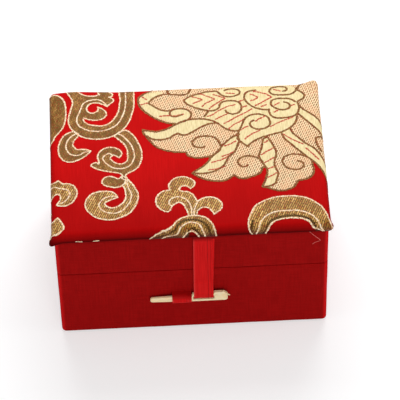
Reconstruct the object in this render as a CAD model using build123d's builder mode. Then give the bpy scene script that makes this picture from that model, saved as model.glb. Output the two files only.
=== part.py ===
from build123d import *
import os

# A brocade keepsake box: a cloth-covered base, a hinged lid with a padded brocade cover,
# and a ribbon strap whose toggle passes through a ribbon loop on the front.
# Sizes are in millimetres. X runs along the front, Y from the front to the back, Z up.
# The origin is the middle of the underside, and the front of the box faces -Y.

os.makedirs("parts", exist_ok=True)

# The box, measured over its cloth
box_width = 111.4
box_depth = 76.4
base_height = 37.5
lid_height = 22.1
seam_gap = 0.3
corner_radius = 2.0

# Boards
base_wall = 3.0
lid_wall = 2.2
floor_board = 2.5
deck_board = 2.5
cover_board_height = 2.0
liner_board = 1.5

# Cloth, satin and paper, and how far they are folded in
cloth = 0.4
satin = 0.3
paper = 0.3
turn_in = 8.0
sheet_inset = 3.0
foot_fold = 0.8
rim_fold = 0.3

# The liner boards stand above the base's rim as a collar that locates the lid
collar_height = 5.0
collar_fold = 0.6

# Padded cover
cover_overhang = 0.9
cover_corner = 2.4
wadding_edge = 1.8
wadding_crown = 1.2
wadding_roll = 1.6

# Satin pads in the base and under the lid
pad_clearance = 0.3
pad_edge = 2.4
pad_crown = 1.6
pad_corner = 4.0
pad_roll = 2.0

# Ribbon, strap and loop
ribbon = 0.4
strap_left = 0.1
strap_width = 8.9
strap_foot_width = 8.1
strap_front_width = 6.5
strap_clearance = 0.45
strap_root_drop = 1.0
strap_joint_gap = 0.2
bight_rise = 6.6
bight_shoulder = 1.9
loop_x = -4.9
loop_width = 8.0
loop_clearance = 0.35
loop_fold = 1.0
loop_end = 6.0
slit_clearance = 0.1

# Toggle, a flat tapered peg with a slot for the strap in its wide end
toggle_z = 20.0
toggle_thickness = 1.5
toggle_tip_thickness = 1.1
tail_length = 17.7
tail_height = 3.4
tip_height = 2.5
tip_round = 1.1
head_length = 5.5
head_height = 5.2
head_chamfer = 1.5
head_round = 1.2
slot_height = 2.0
slot_side_clearance = 0.4
slot_round = 0.4
bottom_bar = 1.3
top_bar = 1.3
bar_shoulder = 0.4
toggle_edge = 0.35
bar_clearance = 0.4

# Cloth hinge along the back
hinge_inset = 2.0
hinge_reach = 19.0

# Planes and faces that several pieces share
overrun = 1.0
front = box_depth / 2
board_width = box_width - 2 * cloth
board_depth = box_depth - 2 * cloth
board_corner = corner_radius - cloth
floor_low = paper + cloth
wall_low = floor_low + floor_board
wall_high = base_height - cloth
lid_low = base_height + seam_gap
lid_high = lid_low + lid_height
deck_high = lid_high - cloth
deck_low = deck_high - deck_board
cover_board_low = lid_high + cloth
wadding_low = cover_board_low + cover_board_height
cover_width = box_width + 2 * cover_overhang
cover_depth = box_depth + 2 * cover_overhang
cavity_width = board_width - 2 * base_wall - 2 * liner_board - 4 * satin
cavity_depth = board_depth - 2 * base_wall - 2 * liner_board - 4 * satin
lid_cavity_width = board_width - 2 * lid_wall - 2 * satin
lid_cavity_depth = board_depth - 2 * lid_wall - 2 * satin

# The closure, as distances in front of the middle and heights above the underside
strap_back = front + strap_clearance
toggle_back = strap_back + ribbon + bar_clearance
toggle_front = toggle_back + toggle_thickness
slot_low = toggle_z + bottom_bar
slot_high = slot_low + slot_height
bar_z = slot_high + top_bar / 2
bight_top = bar_z + bight_rise
strap_low = bight_top + strap_joint_gap
strap_root = lid_high - strap_root_drop
slot_width = strap_foot_width + 2 * slot_side_clearance
slot_left = strap_left - slot_side_clearance
slot_right = slot_left + slot_width


def save(piece, name):
    """Labels a finished piece and writes it as one file."""
    piece.part.label = name
    export_step(piece.part, f"parts/{name}.step")


def cloth_skin(low, high, low_leg, high_leg):
    """Cloth glued round a rim of boards, and folded in below and above by the two legs."""
    with BuildPart() as skin:
        with BuildSketch(Plane.XY.offset(low)):
            RectangleRounded(box_width, box_depth, corner_radius)
        extrude(amount=high - low)
        fillet(skin.faces().sort_by(Axis.Z)[0].edges(), foot_fold if low < base_height else rim_fold)
        fillet(skin.faces().sort_by(Axis.Z)[-1].edges(), rim_fold)
        with BuildSketch(Plane.XY.offset(low + cloth)):
            RectangleRounded(board_width, board_depth, board_corner)
        extrude(amount=high - low - 2 * cloth, mode=Mode.SUBTRACT)
        with BuildSketch(Plane.XY.offset(low)):
            Rectangle(board_width - 2 * low_leg, board_depth - 2 * low_leg)
        extrude(amount=cloth, mode=Mode.SUBTRACT)
        with BuildSketch(Plane.XY.offset(high - cloth)):
            Rectangle(board_width - 2 * high_leg, board_depth - 2 * high_leg)
        extrude(amount=cloth, mode=Mode.SUBTRACT)
    return skin.part


def long_board(side, width, depth, thickness, low, high, corner):
    """The board along the front (side -1) or back (side 1) of a rim that is width by depth outside."""
    with BuildPart() as board:
        with BuildSketch(Plane.XY.offset(low)):
            with Locations((0, side * (depth - thickness) / 2)):
                Rectangle(width, thickness)
        extrude(amount=high - low)
        if corner:
            outer_edges = board.edges().filter_by(Axis.Z).group_by(Axis.Y)[0 if side < 0 else -1]
            fillet(outer_edges, corner)
    return board.part


def short_board(side, width, depth, thickness, low, high):
    """The board at the left (side -1) or right (side 1), standing between the two long ones."""
    with BuildPart() as board:
        with BuildSketch(Plane.XY.offset(low)):
            with Locations((side * (width - thickness) / 2, 0)):
                Rectangle(thickness, depth - 2 * thickness)
        extrude(amount=high - low)
    return board.part


def crowned_pad(width, depth, base, edge, crown, corner, roll, up=1):
    """A pad with a flat back at height base, corners edge tall, a domed face and rolled edges."""
    half_diagonal = (width**2 + depth**2) ** 0.5 / 2
    dome_radius = (half_diagonal**2 + crown**2) / (2 * crown)
    with BuildPart() as block:
        with BuildSketch(Plane.XY.offset(base)):
            RectangleRounded(width, depth, corner)
        extrude(amount=up * (edge + crown))
        face = block.faces().sort_by(Axis.Z)[-1 if up > 0 else 0]
        fillet(face.edges(), roll)
    with BuildPart() as pad:
        with Locations((0, 0, base + up * (edge + crown - dome_radius))):
            Sphere(dome_radius, rotation=(0, 90, 0))
        add(block.part, mode=Mode.INTERSECT)
    return pad.part


# Base: the underside sheet, floor, walls and outer cloth
with BuildPart() as base_sheet:
    with BuildSketch():
        RectangleRounded(box_width - 2 * sheet_inset, box_depth - 2 * sheet_inset, corner_radius)
    extrude(amount=paper)
save(base_sheet, "base_sheet")

with BuildPart() as base_floor:
    with BuildSketch(Plane.XY.offset(floor_low)):
        RectangleRounded(board_width, board_depth, board_corner)
    extrude(amount=floor_board)
save(base_floor, "base_floor")

# The loop's legs pass through slits above and below the toggle's tail, and its ends are glued
# into a rebate in the front wall's inner face
loop_low = toggle_z - loop_clearance - ribbon
loop_high = toggle_z + tail_height + loop_clearance + ribbon
loop_front = toggle_front + loop_clearance + ribbon
loop_back = front - cloth - base_wall
slit_width = loop_width + 2 * slit_clearance
slit_height = ribbon + 2 * slit_clearance

with BuildPart() as base_front_wall:
    add(long_board(-1, board_width, board_depth, base_wall, wall_low, wall_high, board_corner))
    with BuildSketch(Plane.XZ.offset(front)):
        with Locations((loop_x, loop_low + ribbon / 2), (loop_x, loop_high - ribbon / 2)):
            Rectangle(slit_width, slit_height)
    extrude(amount=-cloth - base_wall - overrun, mode=Mode.SUBTRACT)
    with BuildSketch(Plane.XZ.offset(loop_back + ribbon)):
        with Locations((loop_x, (loop_low + loop_high) / 2)):
            Rectangle(slit_width, loop_high - loop_low + 2 * loop_end + 2 * slit_clearance)
    extrude(amount=-ribbon - overrun, mode=Mode.SUBTRACT)
save(base_front_wall, "base_front_wall")

with BuildPart() as base_back_wall:
    add(long_board(1, board_width, board_depth, base_wall, wall_low, wall_high, board_corner))
save(base_back_wall, "base_back_wall")

with BuildPart() as base_cloth:
    add(cloth_skin(paper, base_height, turn_in, base_wall))
    with BuildSketch(Plane.XZ.offset(front)):
        with Locations((loop_x, loop_low + ribbon / 2), (loop_x, loop_high - ribbon / 2)):
            Rectangle(slit_width, slit_height)
    extrude(amount=-cloth - overrun, mode=Mode.SUBTRACT)
save(base_cloth, "base_cloth")

# Lid: walls, deck and outer cloth
with BuildPart() as lid_front_wall:
    add(long_board(-1, board_width, board_depth, lid_wall, lid_low + cloth, deck_low, board_corner))
save(lid_front_wall, "lid_front_wall")

with BuildPart() as lid_back_wall:
    add(long_board(1, board_width, board_depth, lid_wall, lid_low + cloth, deck_low, board_corner))
save(lid_back_wall, "lid_back_wall")

for side_name, side in (("left", -1), ("right", 1)):
    with BuildPart() as base_side_wall:
        add(short_board(side, board_width, board_depth, base_wall, wall_low, wall_high))
    save(base_side_wall, f"base_{side_name}_wall")

    with BuildPart() as lid_side_wall:
        add(short_board(side, board_width, board_depth, lid_wall, lid_low + cloth, deck_low))
    save(lid_side_wall, f"lid_{side_name}_wall")

with BuildPart() as lid_deck:
    with BuildSketch(Plane.XY.offset(deck_low)):
        RectangleRounded(board_width, board_depth, board_corner)
    extrude(amount=deck_board)
save(lid_deck, "lid_deck")

# The strap's tab lies in a gap in the lid cloth's upper fold
tab_length = turn_in - overrun
tab_gap_width = strap_width + 2 * slit_clearance
tab_x = strap_left + strap_width / 2

with BuildPart() as lid_cloth:
    add(cloth_skin(lid_low, lid_high, lid_wall, turn_in))
    with BuildSketch(Plane.XY.offset(deck_high)):
        with Locations((tab_x, -front + (tab_length - ribbon) / 2)):
            Rectangle(tab_gap_width, tab_length + ribbon)
    extrude(amount=cloth + overrun, mode=Mode.SUBTRACT)
save(lid_cloth, "lid_cloth")

# Linings: satin-covered liner boards in the base, and satin on the lid's walls
liner_width = board_width - 2 * base_wall - 2 * satin
liner_depth = board_depth - 2 * base_wall - 2 * satin
collar_top = base_height + collar_height
liner_high = collar_top - satin

for side_name, side in (("front", -1), ("back", 1)):
    with BuildPart() as long_liner:
        add(long_board(side, liner_width, liner_depth, liner_board, wall_low, liner_high, 0))
    save(long_liner, f"base_liner_{side_name}")

for side_name, side in (("left", -1), ("right", 1)):
    with BuildPart() as short_liner:
        add(short_board(side, liner_width, liner_depth, liner_board, wall_low, liner_high))
    save(short_liner, f"base_liner_{side_name}")

with BuildPart() as base_lining:
    with BuildSketch(Plane.XY.offset(wall_low)):
        Rectangle(liner_width + 2 * satin, liner_depth + 2 * satin)
        Rectangle(cavity_width, cavity_depth, mode=Mode.SUBTRACT)
    extrude(amount=collar_top - wall_low)
    fillet(base_lining.faces().sort_by(Axis.Z)[-1].edges(), collar_fold)
    with BuildSketch(Plane.XY.offset(wall_low)):
        Rectangle(liner_width, liner_depth)
        Rectangle(cavity_width + 2 * satin, cavity_depth + 2 * satin, mode=Mode.SUBTRACT)
    extrude(amount=liner_high - wall_low, mode=Mode.SUBTRACT)
save(base_lining, "base_lining")

with BuildPart() as lid_lining:
    with BuildSketch(Plane.XY.offset(lid_low + cloth)):
        Rectangle(lid_cavity_width + 2 * satin, lid_cavity_depth + 2 * satin)
        Rectangle(lid_cavity_width, lid_cavity_depth, mode=Mode.SUBTRACT)
    extrude(amount=deck_low - lid_low - cloth)
save(lid_lining, "lid_lining")

# Pads: one on the base's floor, one under the lid's deck
with BuildPart() as base_pad:
    add(crowned_pad(
        cavity_width - 2 * pad_clearance,
        cavity_depth - 2 * pad_clearance,
        wall_low, pad_edge, pad_crown, pad_corner, pad_roll,
    ))
save(base_pad, "base_pad")

with BuildPart() as lid_pad:
    add(crowned_pad(
        lid_cavity_width - 2 * pad_clearance,
        lid_cavity_depth - 2 * pad_clearance,
        deck_low, pad_edge, pad_crown, pad_corner, pad_roll, up=-1,
    ))
save(lid_pad, "lid_pad")

# Cover: a board that overhangs the rim, wadding on it, and brocade over both
with BuildPart() as cover_board:
    with BuildSketch(Plane.XY.offset(cover_board_low)):
        RectangleRounded(cover_width - 2 * cloth, cover_depth - 2 * cloth, cover_corner - cloth)
    extrude(amount=cover_board_height)
save(cover_board, "cover_board")

with BuildPart() as cover_wadding:
    add(crowned_pad(
        cover_width - 2 * cloth,
        cover_depth - 2 * cloth,
        wadding_low, wadding_edge, wadding_crown, cover_corner - cloth, wadding_roll,
    ))
save(cover_wadding, "cover_wadding")

with BuildPart() as cover_brocade:
    add(crowned_pad(
        cover_width,
        cover_depth,
        lid_high,
        cloth + cover_board_height + wadding_edge + cloth,
        wadding_crown, cover_corner, wadding_roll + cloth,
    ))
    add(cover_board.part, mode=Mode.SUBTRACT)
    add(cover_wadding.part, mode=Mode.SUBTRACT)
    with BuildSketch(Plane.XY.offset(lid_high)):
        Rectangle(board_width - 2 * turn_in, board_depth - 2 * turn_in)
    extrude(amount=cloth, mode=Mode.SUBTRACT)
save(cover_brocade, "cover_brocade")

# Cloth hinge: one strip in two halves, glued to the backs of the base and the lid
hinge_width = box_width - 2 * hinge_inset

with BuildPart() as hinge_strip_lower:
    with BuildSketch(Plane.XY.offset(base_height - hinge_reach)):
        with Locations((0, front + cloth / 2)):
            Rectangle(hinge_width, cloth)
    extrude(amount=hinge_reach)
save(hinge_strip_lower, "hinge_strip_lower")

with BuildPart() as hinge_strip_upper:
    with BuildSketch(Plane.XY.offset(lid_low)):
        with Locations((0, front + cloth / 2)):
            Rectangle(hinge_width, cloth)
    extrude(amount=hinge_reach)
save(hinge_strip_upper, "hinge_strip_upper")

# Strap: its tab glued on the lid, its two layers down the front, and the bight round the toggle
with BuildPart() as strap_tab:
    with BuildSketch(Plane.YZ.offset(strap_left)):
        with BuildLine():
            Polyline(
                (-front + tab_length, deck_high),
                (-front, deck_high),
                (-front, strap_root + strap_joint_gap),
                (-front - ribbon, strap_root + strap_joint_gap),
                (-front - ribbon, lid_high),
                (-front + tab_length, lid_high),
                close=True,
            )
        make_face()
    extrude(amount=strap_width)
save(strap_tab, "strap_tab")

with BuildPart() as strap:
    for layer, layer_width in enumerate((strap_width, strap_front_width)):
        with BuildSketch(Plane.XZ.offset(strap_back + layer * ribbon)):
            with BuildLine():
                Polyline(
                    (strap_left, strap_root),
                    (strap_left + layer_width, strap_root),
                    (strap_left + strap_foot_width, strap_low),
                    (strap_left, strap_low),
                    close=True,
                )
            make_face()
        extrude(amount=ribbon)
save(strap, "strap")

bight_front = toggle_front + bar_clearance + ribbon
bight_low = slot_high - bar_clearance - ribbon

with BuildPart() as strap_bight:
    with BuildSketch(Plane.YZ.offset(strap_left)):
        with BuildLine():
            Polyline(
                (-strap_back, bight_top),
                (-strap_back, bight_low),
                (-bight_front, bight_low),
                (-bight_front, bar_z + bight_shoulder),
                (-strap_back - 2 * ribbon, bight_top),
                close=True,
            )
        outline = make_face()
        fillet(outline.vertices().group_by(Axis.Y)[0], 2 * ribbon)
    extrude(amount=strap_foot_width)
    with BuildSketch(Plane.YZ.offset(strap_left)):
        with BuildLine():
            Polyline(
                (-strap_back - ribbon, bight_top - 2 * ribbon),
                (-strap_back - ribbon, bight_low + ribbon),
                (-bight_front + ribbon, bight_low + ribbon),
                (-bight_front + ribbon, bar_z + bight_shoulder - ribbon / 2),
                close=True,
            )
        gap = make_face()
        fillet(gap.vertices().group_by(Axis.Y)[0], ribbon)
    extrude(amount=strap_foot_width, mode=Mode.SUBTRACT)
save(strap_bight, "strap_bight")

# Loop: a ribbon through the slits, round the toggle's tail, with its ends turned along the rebate
with BuildPart() as closure_loop:
    with BuildSketch(Plane.YZ.offset(loop_x - loop_width / 2)):
        with BuildLine():
            Polyline(
                (-loop_back, loop_low),
                (-loop_front, loop_low),
                (-loop_front, loop_high),
                (-loop_back, loop_high),
                close=True,
            )
        band = make_face()
        fillet(band.vertices().group_by(Axis.X)[0], loop_fold)
    extrude(amount=loop_width)
    with BuildSketch(Plane.YZ.offset(loop_x - loop_width / 2)):
        with BuildLine():
            Polyline(
                (-loop_back, loop_low + ribbon),
                (-loop_front + ribbon, loop_low + ribbon),
                (-loop_front + ribbon, loop_high - ribbon),
                (-loop_back, loop_high - ribbon),
                close=True,
            )
        inside = make_face()
        fillet(inside.vertices().group_by(Axis.X)[0], loop_fold - ribbon)
    extrude(amount=loop_width, mode=Mode.SUBTRACT)
    with BuildSketch(Plane.XZ.offset(loop_back)):
        with Locations((loop_x, loop_low - loop_end / 2), (loop_x, loop_high + loop_end / 2)):
            Rectangle(loop_width, loop_end)
    extrude(amount=ribbon)
save(closure_loop, "closure_loop")

# Toggle: straight along its lower edge, tapering to the tip above, and thinner at the tip
tip_x = slot_left - tail_length
head_x = slot_right + head_length
toggle_top = toggle_z + bottom_bar + slot_height + top_bar

with BuildPart() as toggle:
    with BuildSketch(Plane.XZ.offset(toggle_back)) as blank:
        with BuildLine():
            Polyline(
                (tip_x, toggle_z),
                (head_x, toggle_z),
                (head_x, toggle_z + head_height - head_chamfer),
                (head_x - head_chamfer, toggle_z + head_height),
                (slot_right, toggle_z + head_height),
                (slot_right - bar_shoulder, toggle_top),
                (slot_left, toggle_top),
                (slot_left - bar_shoulder, toggle_z + tail_height),
                (tip_x, toggle_z + tip_height),
                close=True,
            )
        make_face()
        fillet(blank.vertices().group_by(Axis.X)[0], tip_round)
        fillet(blank.vertices().sort_by(Axis.X)[-2:].sort_by(Axis.Y)[0], head_round)
    extrude(amount=toggle_thickness)
    thinning = toggle_thickness - toggle_tip_thickness
    tail_face = Plane(
        origin=(slot_left, -toggle_front, toggle_z),
        x_dir=(tail_length, -thinning, 0),
        z_dir=(thinning, tail_length, 0),
    )
    split(bisect_by=tail_face, keep=Keep.TOP)
    fillet(toggle.edges().filter_by(Axis.Y, reverse=True), toggle_edge)
    with BuildSketch(Plane.XZ.offset(toggle_back - overrun)):
        with Locations((slot_left + slot_width / 2, slot_low + slot_height / 2)):
            RectangleRounded(slot_width, slot_height, slot_round)
    extrude(amount=toggle_thickness + 2 * overrun, mode=Mode.SUBTRACT)
save(toggle, "toggle")
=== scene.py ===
import bpy
import bmesh
import math
from mathutils import Matrix, Vector, noise


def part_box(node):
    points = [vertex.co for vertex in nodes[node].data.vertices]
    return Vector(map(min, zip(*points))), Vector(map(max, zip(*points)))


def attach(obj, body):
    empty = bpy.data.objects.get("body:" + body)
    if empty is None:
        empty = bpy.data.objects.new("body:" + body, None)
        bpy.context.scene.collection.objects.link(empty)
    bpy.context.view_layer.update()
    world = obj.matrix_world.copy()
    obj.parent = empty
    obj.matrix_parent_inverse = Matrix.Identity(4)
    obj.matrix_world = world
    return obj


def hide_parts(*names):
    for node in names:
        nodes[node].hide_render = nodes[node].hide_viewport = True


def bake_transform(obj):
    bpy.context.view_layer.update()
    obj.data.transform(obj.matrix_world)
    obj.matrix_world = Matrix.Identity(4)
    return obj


# A brocade keepsake box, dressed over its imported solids. Shapes are worked out in
# millimetres and set down in metres, in the same frame as the solids.

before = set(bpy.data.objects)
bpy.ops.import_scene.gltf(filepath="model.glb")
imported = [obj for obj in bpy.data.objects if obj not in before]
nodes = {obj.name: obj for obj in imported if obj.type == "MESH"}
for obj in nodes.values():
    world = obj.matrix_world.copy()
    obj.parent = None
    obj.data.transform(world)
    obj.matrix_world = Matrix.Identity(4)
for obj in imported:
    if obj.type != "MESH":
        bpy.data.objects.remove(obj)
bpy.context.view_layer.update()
MM = 0.001


# Small tools

def linear(hex_colour):
    """An sRGB hex colour as linear red, green, blue and alpha."""
    values = [int(hex_colour[i:i + 2], 16) / 255 for i in (1, 3, 5)]
    return [v / 12.92 if v <= 0.04045 else ((v + 0.055) / 1.055) ** 2.4 for v in values] + [1]


def add_node(material, kind, settings=None, links=None):
    """Adds a shader node. Settings are its properties or sockets, links the outputs that feed it."""
    made = material.node_tree.nodes.new(kind)
    for name, value in (settings or {}).items():
        if isinstance(name, int) or (name in made.inputs and not hasattr(made, name)):
            made.inputs[name].default_value = value
        else:
            setattr(made, name, value)
    for name, output in (links or {}).items():
        material.node_tree.links.new(output, made.inputs[name])
    return made


def start_material(name, roughness, settings=None):
    """A material with its surface shader, ready for its colour and relief."""
    material = bpy.data.materials.new(name)
    material.use_nodes = True
    material.node_tree.nodes.clear()
    shader = add_node(material, "ShaderNodeBsdfPrincipled", {"Roughness": roughness, **(settings or {})})
    add_node(material, "ShaderNodeOutputMaterial", links={"Surface": shader.outputs[0]})
    return material, shader


def blend_colours(material, amount, low, high):
    """Mixes two colours, each a hex colour or another node's output, by an amount from 0 to 1."""
    mix = add_node(material, "ShaderNodeMix", {"data_type": "RGBA"}, {0: amount})
    for socket, colour in ((6, low), (7, high)):
        if isinstance(colour, str):
            mix.inputs[socket].default_value = linear(colour)
        else:
            material.node_tree.links.new(colour, mix.inputs[socket])
    return mix.outputs[2]


def tinted(material, colour, value, low, high, share, tone):
    """The colour, brought to another tone by up to a share where a value goes from low to high."""
    amount = times(material, between(material, value, low, high), share)
    return blend_colours(material, amount, colour, tone)


def finish_surface(material, shader, colour, relief, depth, strength=1.0):
    """Feeds the colour and a relief of the given depth in mm to the surface shader."""
    bump = add_node(
        material, "ShaderNodeBump", {"Distance": depth * MM, "Strength": strength}, {"Height": relief}
    )
    material.node_tree.links.new(colour, shader.inputs["Base Color"])
    material.node_tree.links.new(bump.outputs[0], shader.inputs["Normal"])
    return material


def deselect():
    bpy.ops.object.select_all(action="DESELECT")


def make_active(piece):
    deselect()
    piece.select_set(True)
    bpy.context.view_layer.objects.active = piece


def thicken(piece, thickness, offset=-1.0):
    """Gives a sheet its thickness in mm."""
    make_active(piece)
    solidify = piece.modifiers.new("thickness", "SOLIDIFY")
    solidify.thickness = thickness * MM
    solidify.offset = offset
    solidify.use_even_offset = False
    bpy.ops.object.modifier_apply(modifier=solidify.name)


def dress(piece, name, material, body, smooth_angle=50):
    """Names a finished piece, gives it its material, and lets it ride on its body."""
    piece.name = name
    piece.data.name = name
    piece.data.materials.clear()
    piece.data.materials.append(material)
    make_active(piece)
    bpy.ops.object.shade_smooth_by_angle(angle=math.radians(smooth_angle))
    if body:
        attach(piece, body)
    return piece


def merge_edges(piece, distance=0.004):
    """Closes the seams where two edges of a mesh meet, and turns its faces outwards."""
    make_active(piece)
    bpy.ops.object.mode_set(mode="EDIT")
    bpy.ops.mesh.select_all(action="SELECT")
    bpy.ops.mesh.remove_doubles(threshold=distance * MM)
    bpy.ops.mesh.normals_make_consistent(inside=False)
    bpy.ops.object.mode_set(mode="OBJECT")


def cloth_from_grid(across, along, place):
    """A flat grid of cloth, threads across and along in mm, laid where place(u, v) says, in mm.

    Its UV map keeps the flat cloth's own sizes, in metres, for weaves that follow the threads.
    """
    deselect()
    bpy.ops.mesh.primitive_grid_add(
        x_subdivisions=len(across) - 1, y_subdivisions=len(along) - 1, size=2, location=(0, 0, 0)
    )
    piece = bpy.context.object
    flat = []
    for vertex in piece.data.vertices:
        u = across[round((vertex.co.x + 1) / 2 * (len(across) - 1))]
        v = along[round((vertex.co.y + 1) / 2 * (len(along) - 1))]
        flat.append((u * MM, v * MM))
        vertex.co = Vector(place(u, v)) * MM
    layer = piece.data.uv_layers.active
    for loop in piece.data.loops:
        layer.data[loop.index].uv = flat[loop.vertex_index]
    return piece


def even_steps(start, end, step):
    """Places from start to end, about a step apart."""
    count = max(1, round(abs(end - start) / step))
    return [start + (end - start) * i / count for i in range(count + 1)]


# Camera, floor and light

# the picture's side in pixels, and the camera's sensor in mm
FRAME, SENSOR = 400, 36


def photo_view():
    """The photograph's camera, fitted to the box's corners: its place, its axes, its focal length."""
    turn, height, roll = math.radians(-1.44), math.radians(49.42), math.radians(-1.57)
    # the focal length and the box's place in the picture are in pixels, the distance is in metres
    focal, middle_x, middle_y, distance = 2700, 189.1, 210.8, 1.139
    aim = Vector((0, 0, 30 * MM))
    level = math.cos(height)
    ahead = Vector((-math.sin(turn) * level, math.cos(turn) * level, -math.sin(height)))
    right = ahead.cross(Vector((0, 0, 1))).normalized()
    up = right.cross(ahead)
    right, up = (
        right * math.cos(roll) + up * math.sin(roll),
        up * math.cos(roll) - right * math.sin(roll),
    )
    place = (
        aim - ahead * distance
        - right * (middle_x - FRAME / 2) / focal * distance
        + up * (middle_y - FRAME / 2) / focal * distance
    )
    return place, ahead, right, up, focal


def place_camera():
    """A long lens at the photograph's angle, for a square frame."""
    place, ahead, right, up, focal = photo_view()
    camera = bpy.data.objects.new("camera", bpy.data.cameras.new("camera"))
    bpy.context.scene.collection.objects.link(camera)
    camera.data.sensor_width = SENSOR
    camera.data.lens = focal / FRAME * SENSOR
    camera.data.clip_start, camera.data.clip_end = 0.05, 20
    camera.matrix_world = Matrix.Translation(place) @ Matrix((right, up, -ahead)).transposed().to_4x4()
    bpy.context.scene.camera = camera


def white_sweep():
    """Matt white paper sweep: pale under the lamps, and brought to white for the eye, with its shadow."""
    material, shader = start_material("matt_white_sweep_paper", 0.9, {"Base Color": linear("#D0D1D2")})
    rays = add_node(material, "ShaderNodeLightPath")
    seen = add_node(
        material, "ShaderNodeMath", {"operation": "MAXIMUM"}, {0: rays.outputs[0], 1: rays.outputs[3]}
    )
    lift = add_node(material, "ShaderNodeMath", {"operation": "MULTIPLY", 1: 0.48}, {0: seen.outputs[0]})
    glow = add_node(
        material, "ShaderNodeEmission", {"Color": (1, 1, 1, 1)}, {"Strength": lift.outputs[0]}
    )
    both = add_node(
        material, "ShaderNodeAddShader", links={0: shader.outputs[0], 1: glow.outputs[0]}
    )
    output = next(n for n in material.node_tree.nodes if n.type == "OUTPUT_MATERIAL")
    material.node_tree.links.new(both.outputs[0], output.inputs["Surface"])
    return material


def set_the_stage():
    """A white floor, a pale room and four plain softboxes."""
    deselect()
    bpy.ops.mesh.primitive_plane_add(size=6, location=(0, 0, 0))
    floor = bpy.context.object
    floor.name = "floor"
    floor.data.materials.append(white_sweep())

    bpy.context.scene.view_settings.view_transform = "Standard"
    world = bpy.data.worlds.new("pale_room")
    world.use_nodes = True
    bpy.context.scene.world = world
    world.node_tree.nodes.clear()
    rays = world.node_tree.nodes.new("ShaderNodeLightPath")
    light = world.node_tree.nodes.new("ShaderNodeBackground")
    light.inputs["Strength"].default_value = 0.3
    seen = world.node_tree.nodes.new("ShaderNodeBackground")
    seen.inputs["Color"].default_value = (1, 1, 1, 1)
    light.inputs["Color"].default_value = (1, 0.99, 0.98, 1)
    choose = world.node_tree.nodes.new("ShaderNodeMixShader")
    output = world.node_tree.nodes.new("ShaderNodeOutputWorld")
    link = world.node_tree.links.new
    link(rays.outputs["Is Camera Ray"], choose.inputs[0])
    link(light.outputs[0], choose.inputs[1])
    link(seen.outputs[0], choose.inputs[2])
    link(choose.outputs[0], output.inputs["Surface"])

    for name, place, size, share in (
        ("softbox_above", (0.03, 0.35, 0.43), 0.42, 0.78),
        ("softbox_left", (-0.85, -0.12, 0.3), 0.45, 0.16),
        ("softbox_right", (0.85, -0.08, 0.3), 0.45, 0.24),
        ("softbox_front", (0.1, -1.05, 0.4), 0.7, 0.38),
    ):
        lamp = bpy.data.lights.new(name, "AREA")
        lamp.size = size
        distance = Vector(place).length
        lamp.energy = share * math.pi ** 2 * distance ** 2
        holder = bpy.data.objects.new(name, lamp)
        bpy.context.scene.collection.objects.link(holder)
        holder.location = place
        holder.rotation_mode = "QUATERNION"
        holder.rotation_quaternion = (-Vector(place)).to_track_quat("-Z", "Y")


# Materials

def flat_cloth_place(material, turn=0.0):
    """The flat cloth's own place in metres, turned by an angle in degrees."""
    uv = add_node(material, "ShaderNodeUVMap")
    turned = add_node(material, "ShaderNodeMapping", links={"Vector": uv.outputs[0]})
    turned.inputs["Rotation"].default_value[2] = math.radians(turn)
    return turned.outputs[0]


# one band of the wave texture at scale 1, in metres
WAVE_BAND = 0.314


def stripes(material, place, spacing, direction, wobble=0.0):
    """Even soft stripes, a spacing in mm apart."""
    return add_node(
        material, "ShaderNodeTexWave",
        {
            "bands_direction": direction,
            "Scale": WAVE_BAND / (spacing * MM),
            "Distortion": wobble,
            "Detail": 1.0,
            "Detail Scale": 0.4,
        },
        {"Vector": place},
    ).outputs["Fac"]


def streaks(material, place, width, length, detail=1.0):
    """Noise drawn out into streaks, with their width across and length along in mm."""
    stretched = add_node(
        material, "ShaderNodeMapping",
        {"Scale": (1 / (width * MM), 1 / (length * MM), 1 / (length * MM))}, {"Vector": place},
    )
    return add_node(
        material, "ShaderNodeTexNoise", {"Scale": 1.0, "Detail": detail, "Roughness": 0.5},
        {"Vector": stretched.outputs[0]},
    ).outputs["Fac"]


def between(material, value, low, high):
    """0 below low and 1 above high."""
    return add_node(
        material, "ShaderNodeMapRange",
        {"From Min": low, "From Max": high, "clamp": True}, {"Value": value},
    ).outputs[0]


def times(material, a, b, operation="MULTIPLY"):
    """The product of two values, or what another operation makes of them."""
    node = add_node(material, "ShaderNodeMath", {"operation": operation}, {0: a})
    if isinstance(b, (int, float)):
        node.inputs[1].default_value = b
    else:
        material.node_tree.links.new(b, node.inputs[1])
    return node.outputs[0]


def stitches(material, lean, length, spacing, gap, tones, under, wander=0.25):
    """Staggered upright stitches of weft, sizes in mm, and what lies between them.

    Gives their colour, and their relief, which is 0 on a stitch and 1 beside it.
    """
    flat = flat_cloth_place(material)
    drift = add_node(material, "ShaderNodeTexNoise", {"Scale": 600.0, "Detail": 1.0}, {"Vector": flat})
    moved = add_node(
        material, "ShaderNodeVectorMath", {"operation": "MULTIPLY_ADD", 1: (wander * MM,) * 3},
        {0: drift.outputs["Color"], 2: flat},
    )
    turned = add_node(material, "ShaderNodeMapping", links={"Vector": moved.outputs[0]})
    turned.inputs["Rotation"].default_value[2] = math.radians(90 + lean)
    rows = add_node(
        material, "ShaderNodeTexBrick",
        {
            "Scale": 1 / MM, "Brick Width": length, "Row Height": spacing, "Mortar Size": gap / 2,
            "Mortar Smooth": 0.4, "Color1": linear(tones[0]), "Color2": linear(tones[1]),
            "Mortar": linear(under),
        },
        {"Vector": turned.outputs[0]},
    )
    return rows.outputs["Color"], rows.outputs["Fac"]


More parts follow.
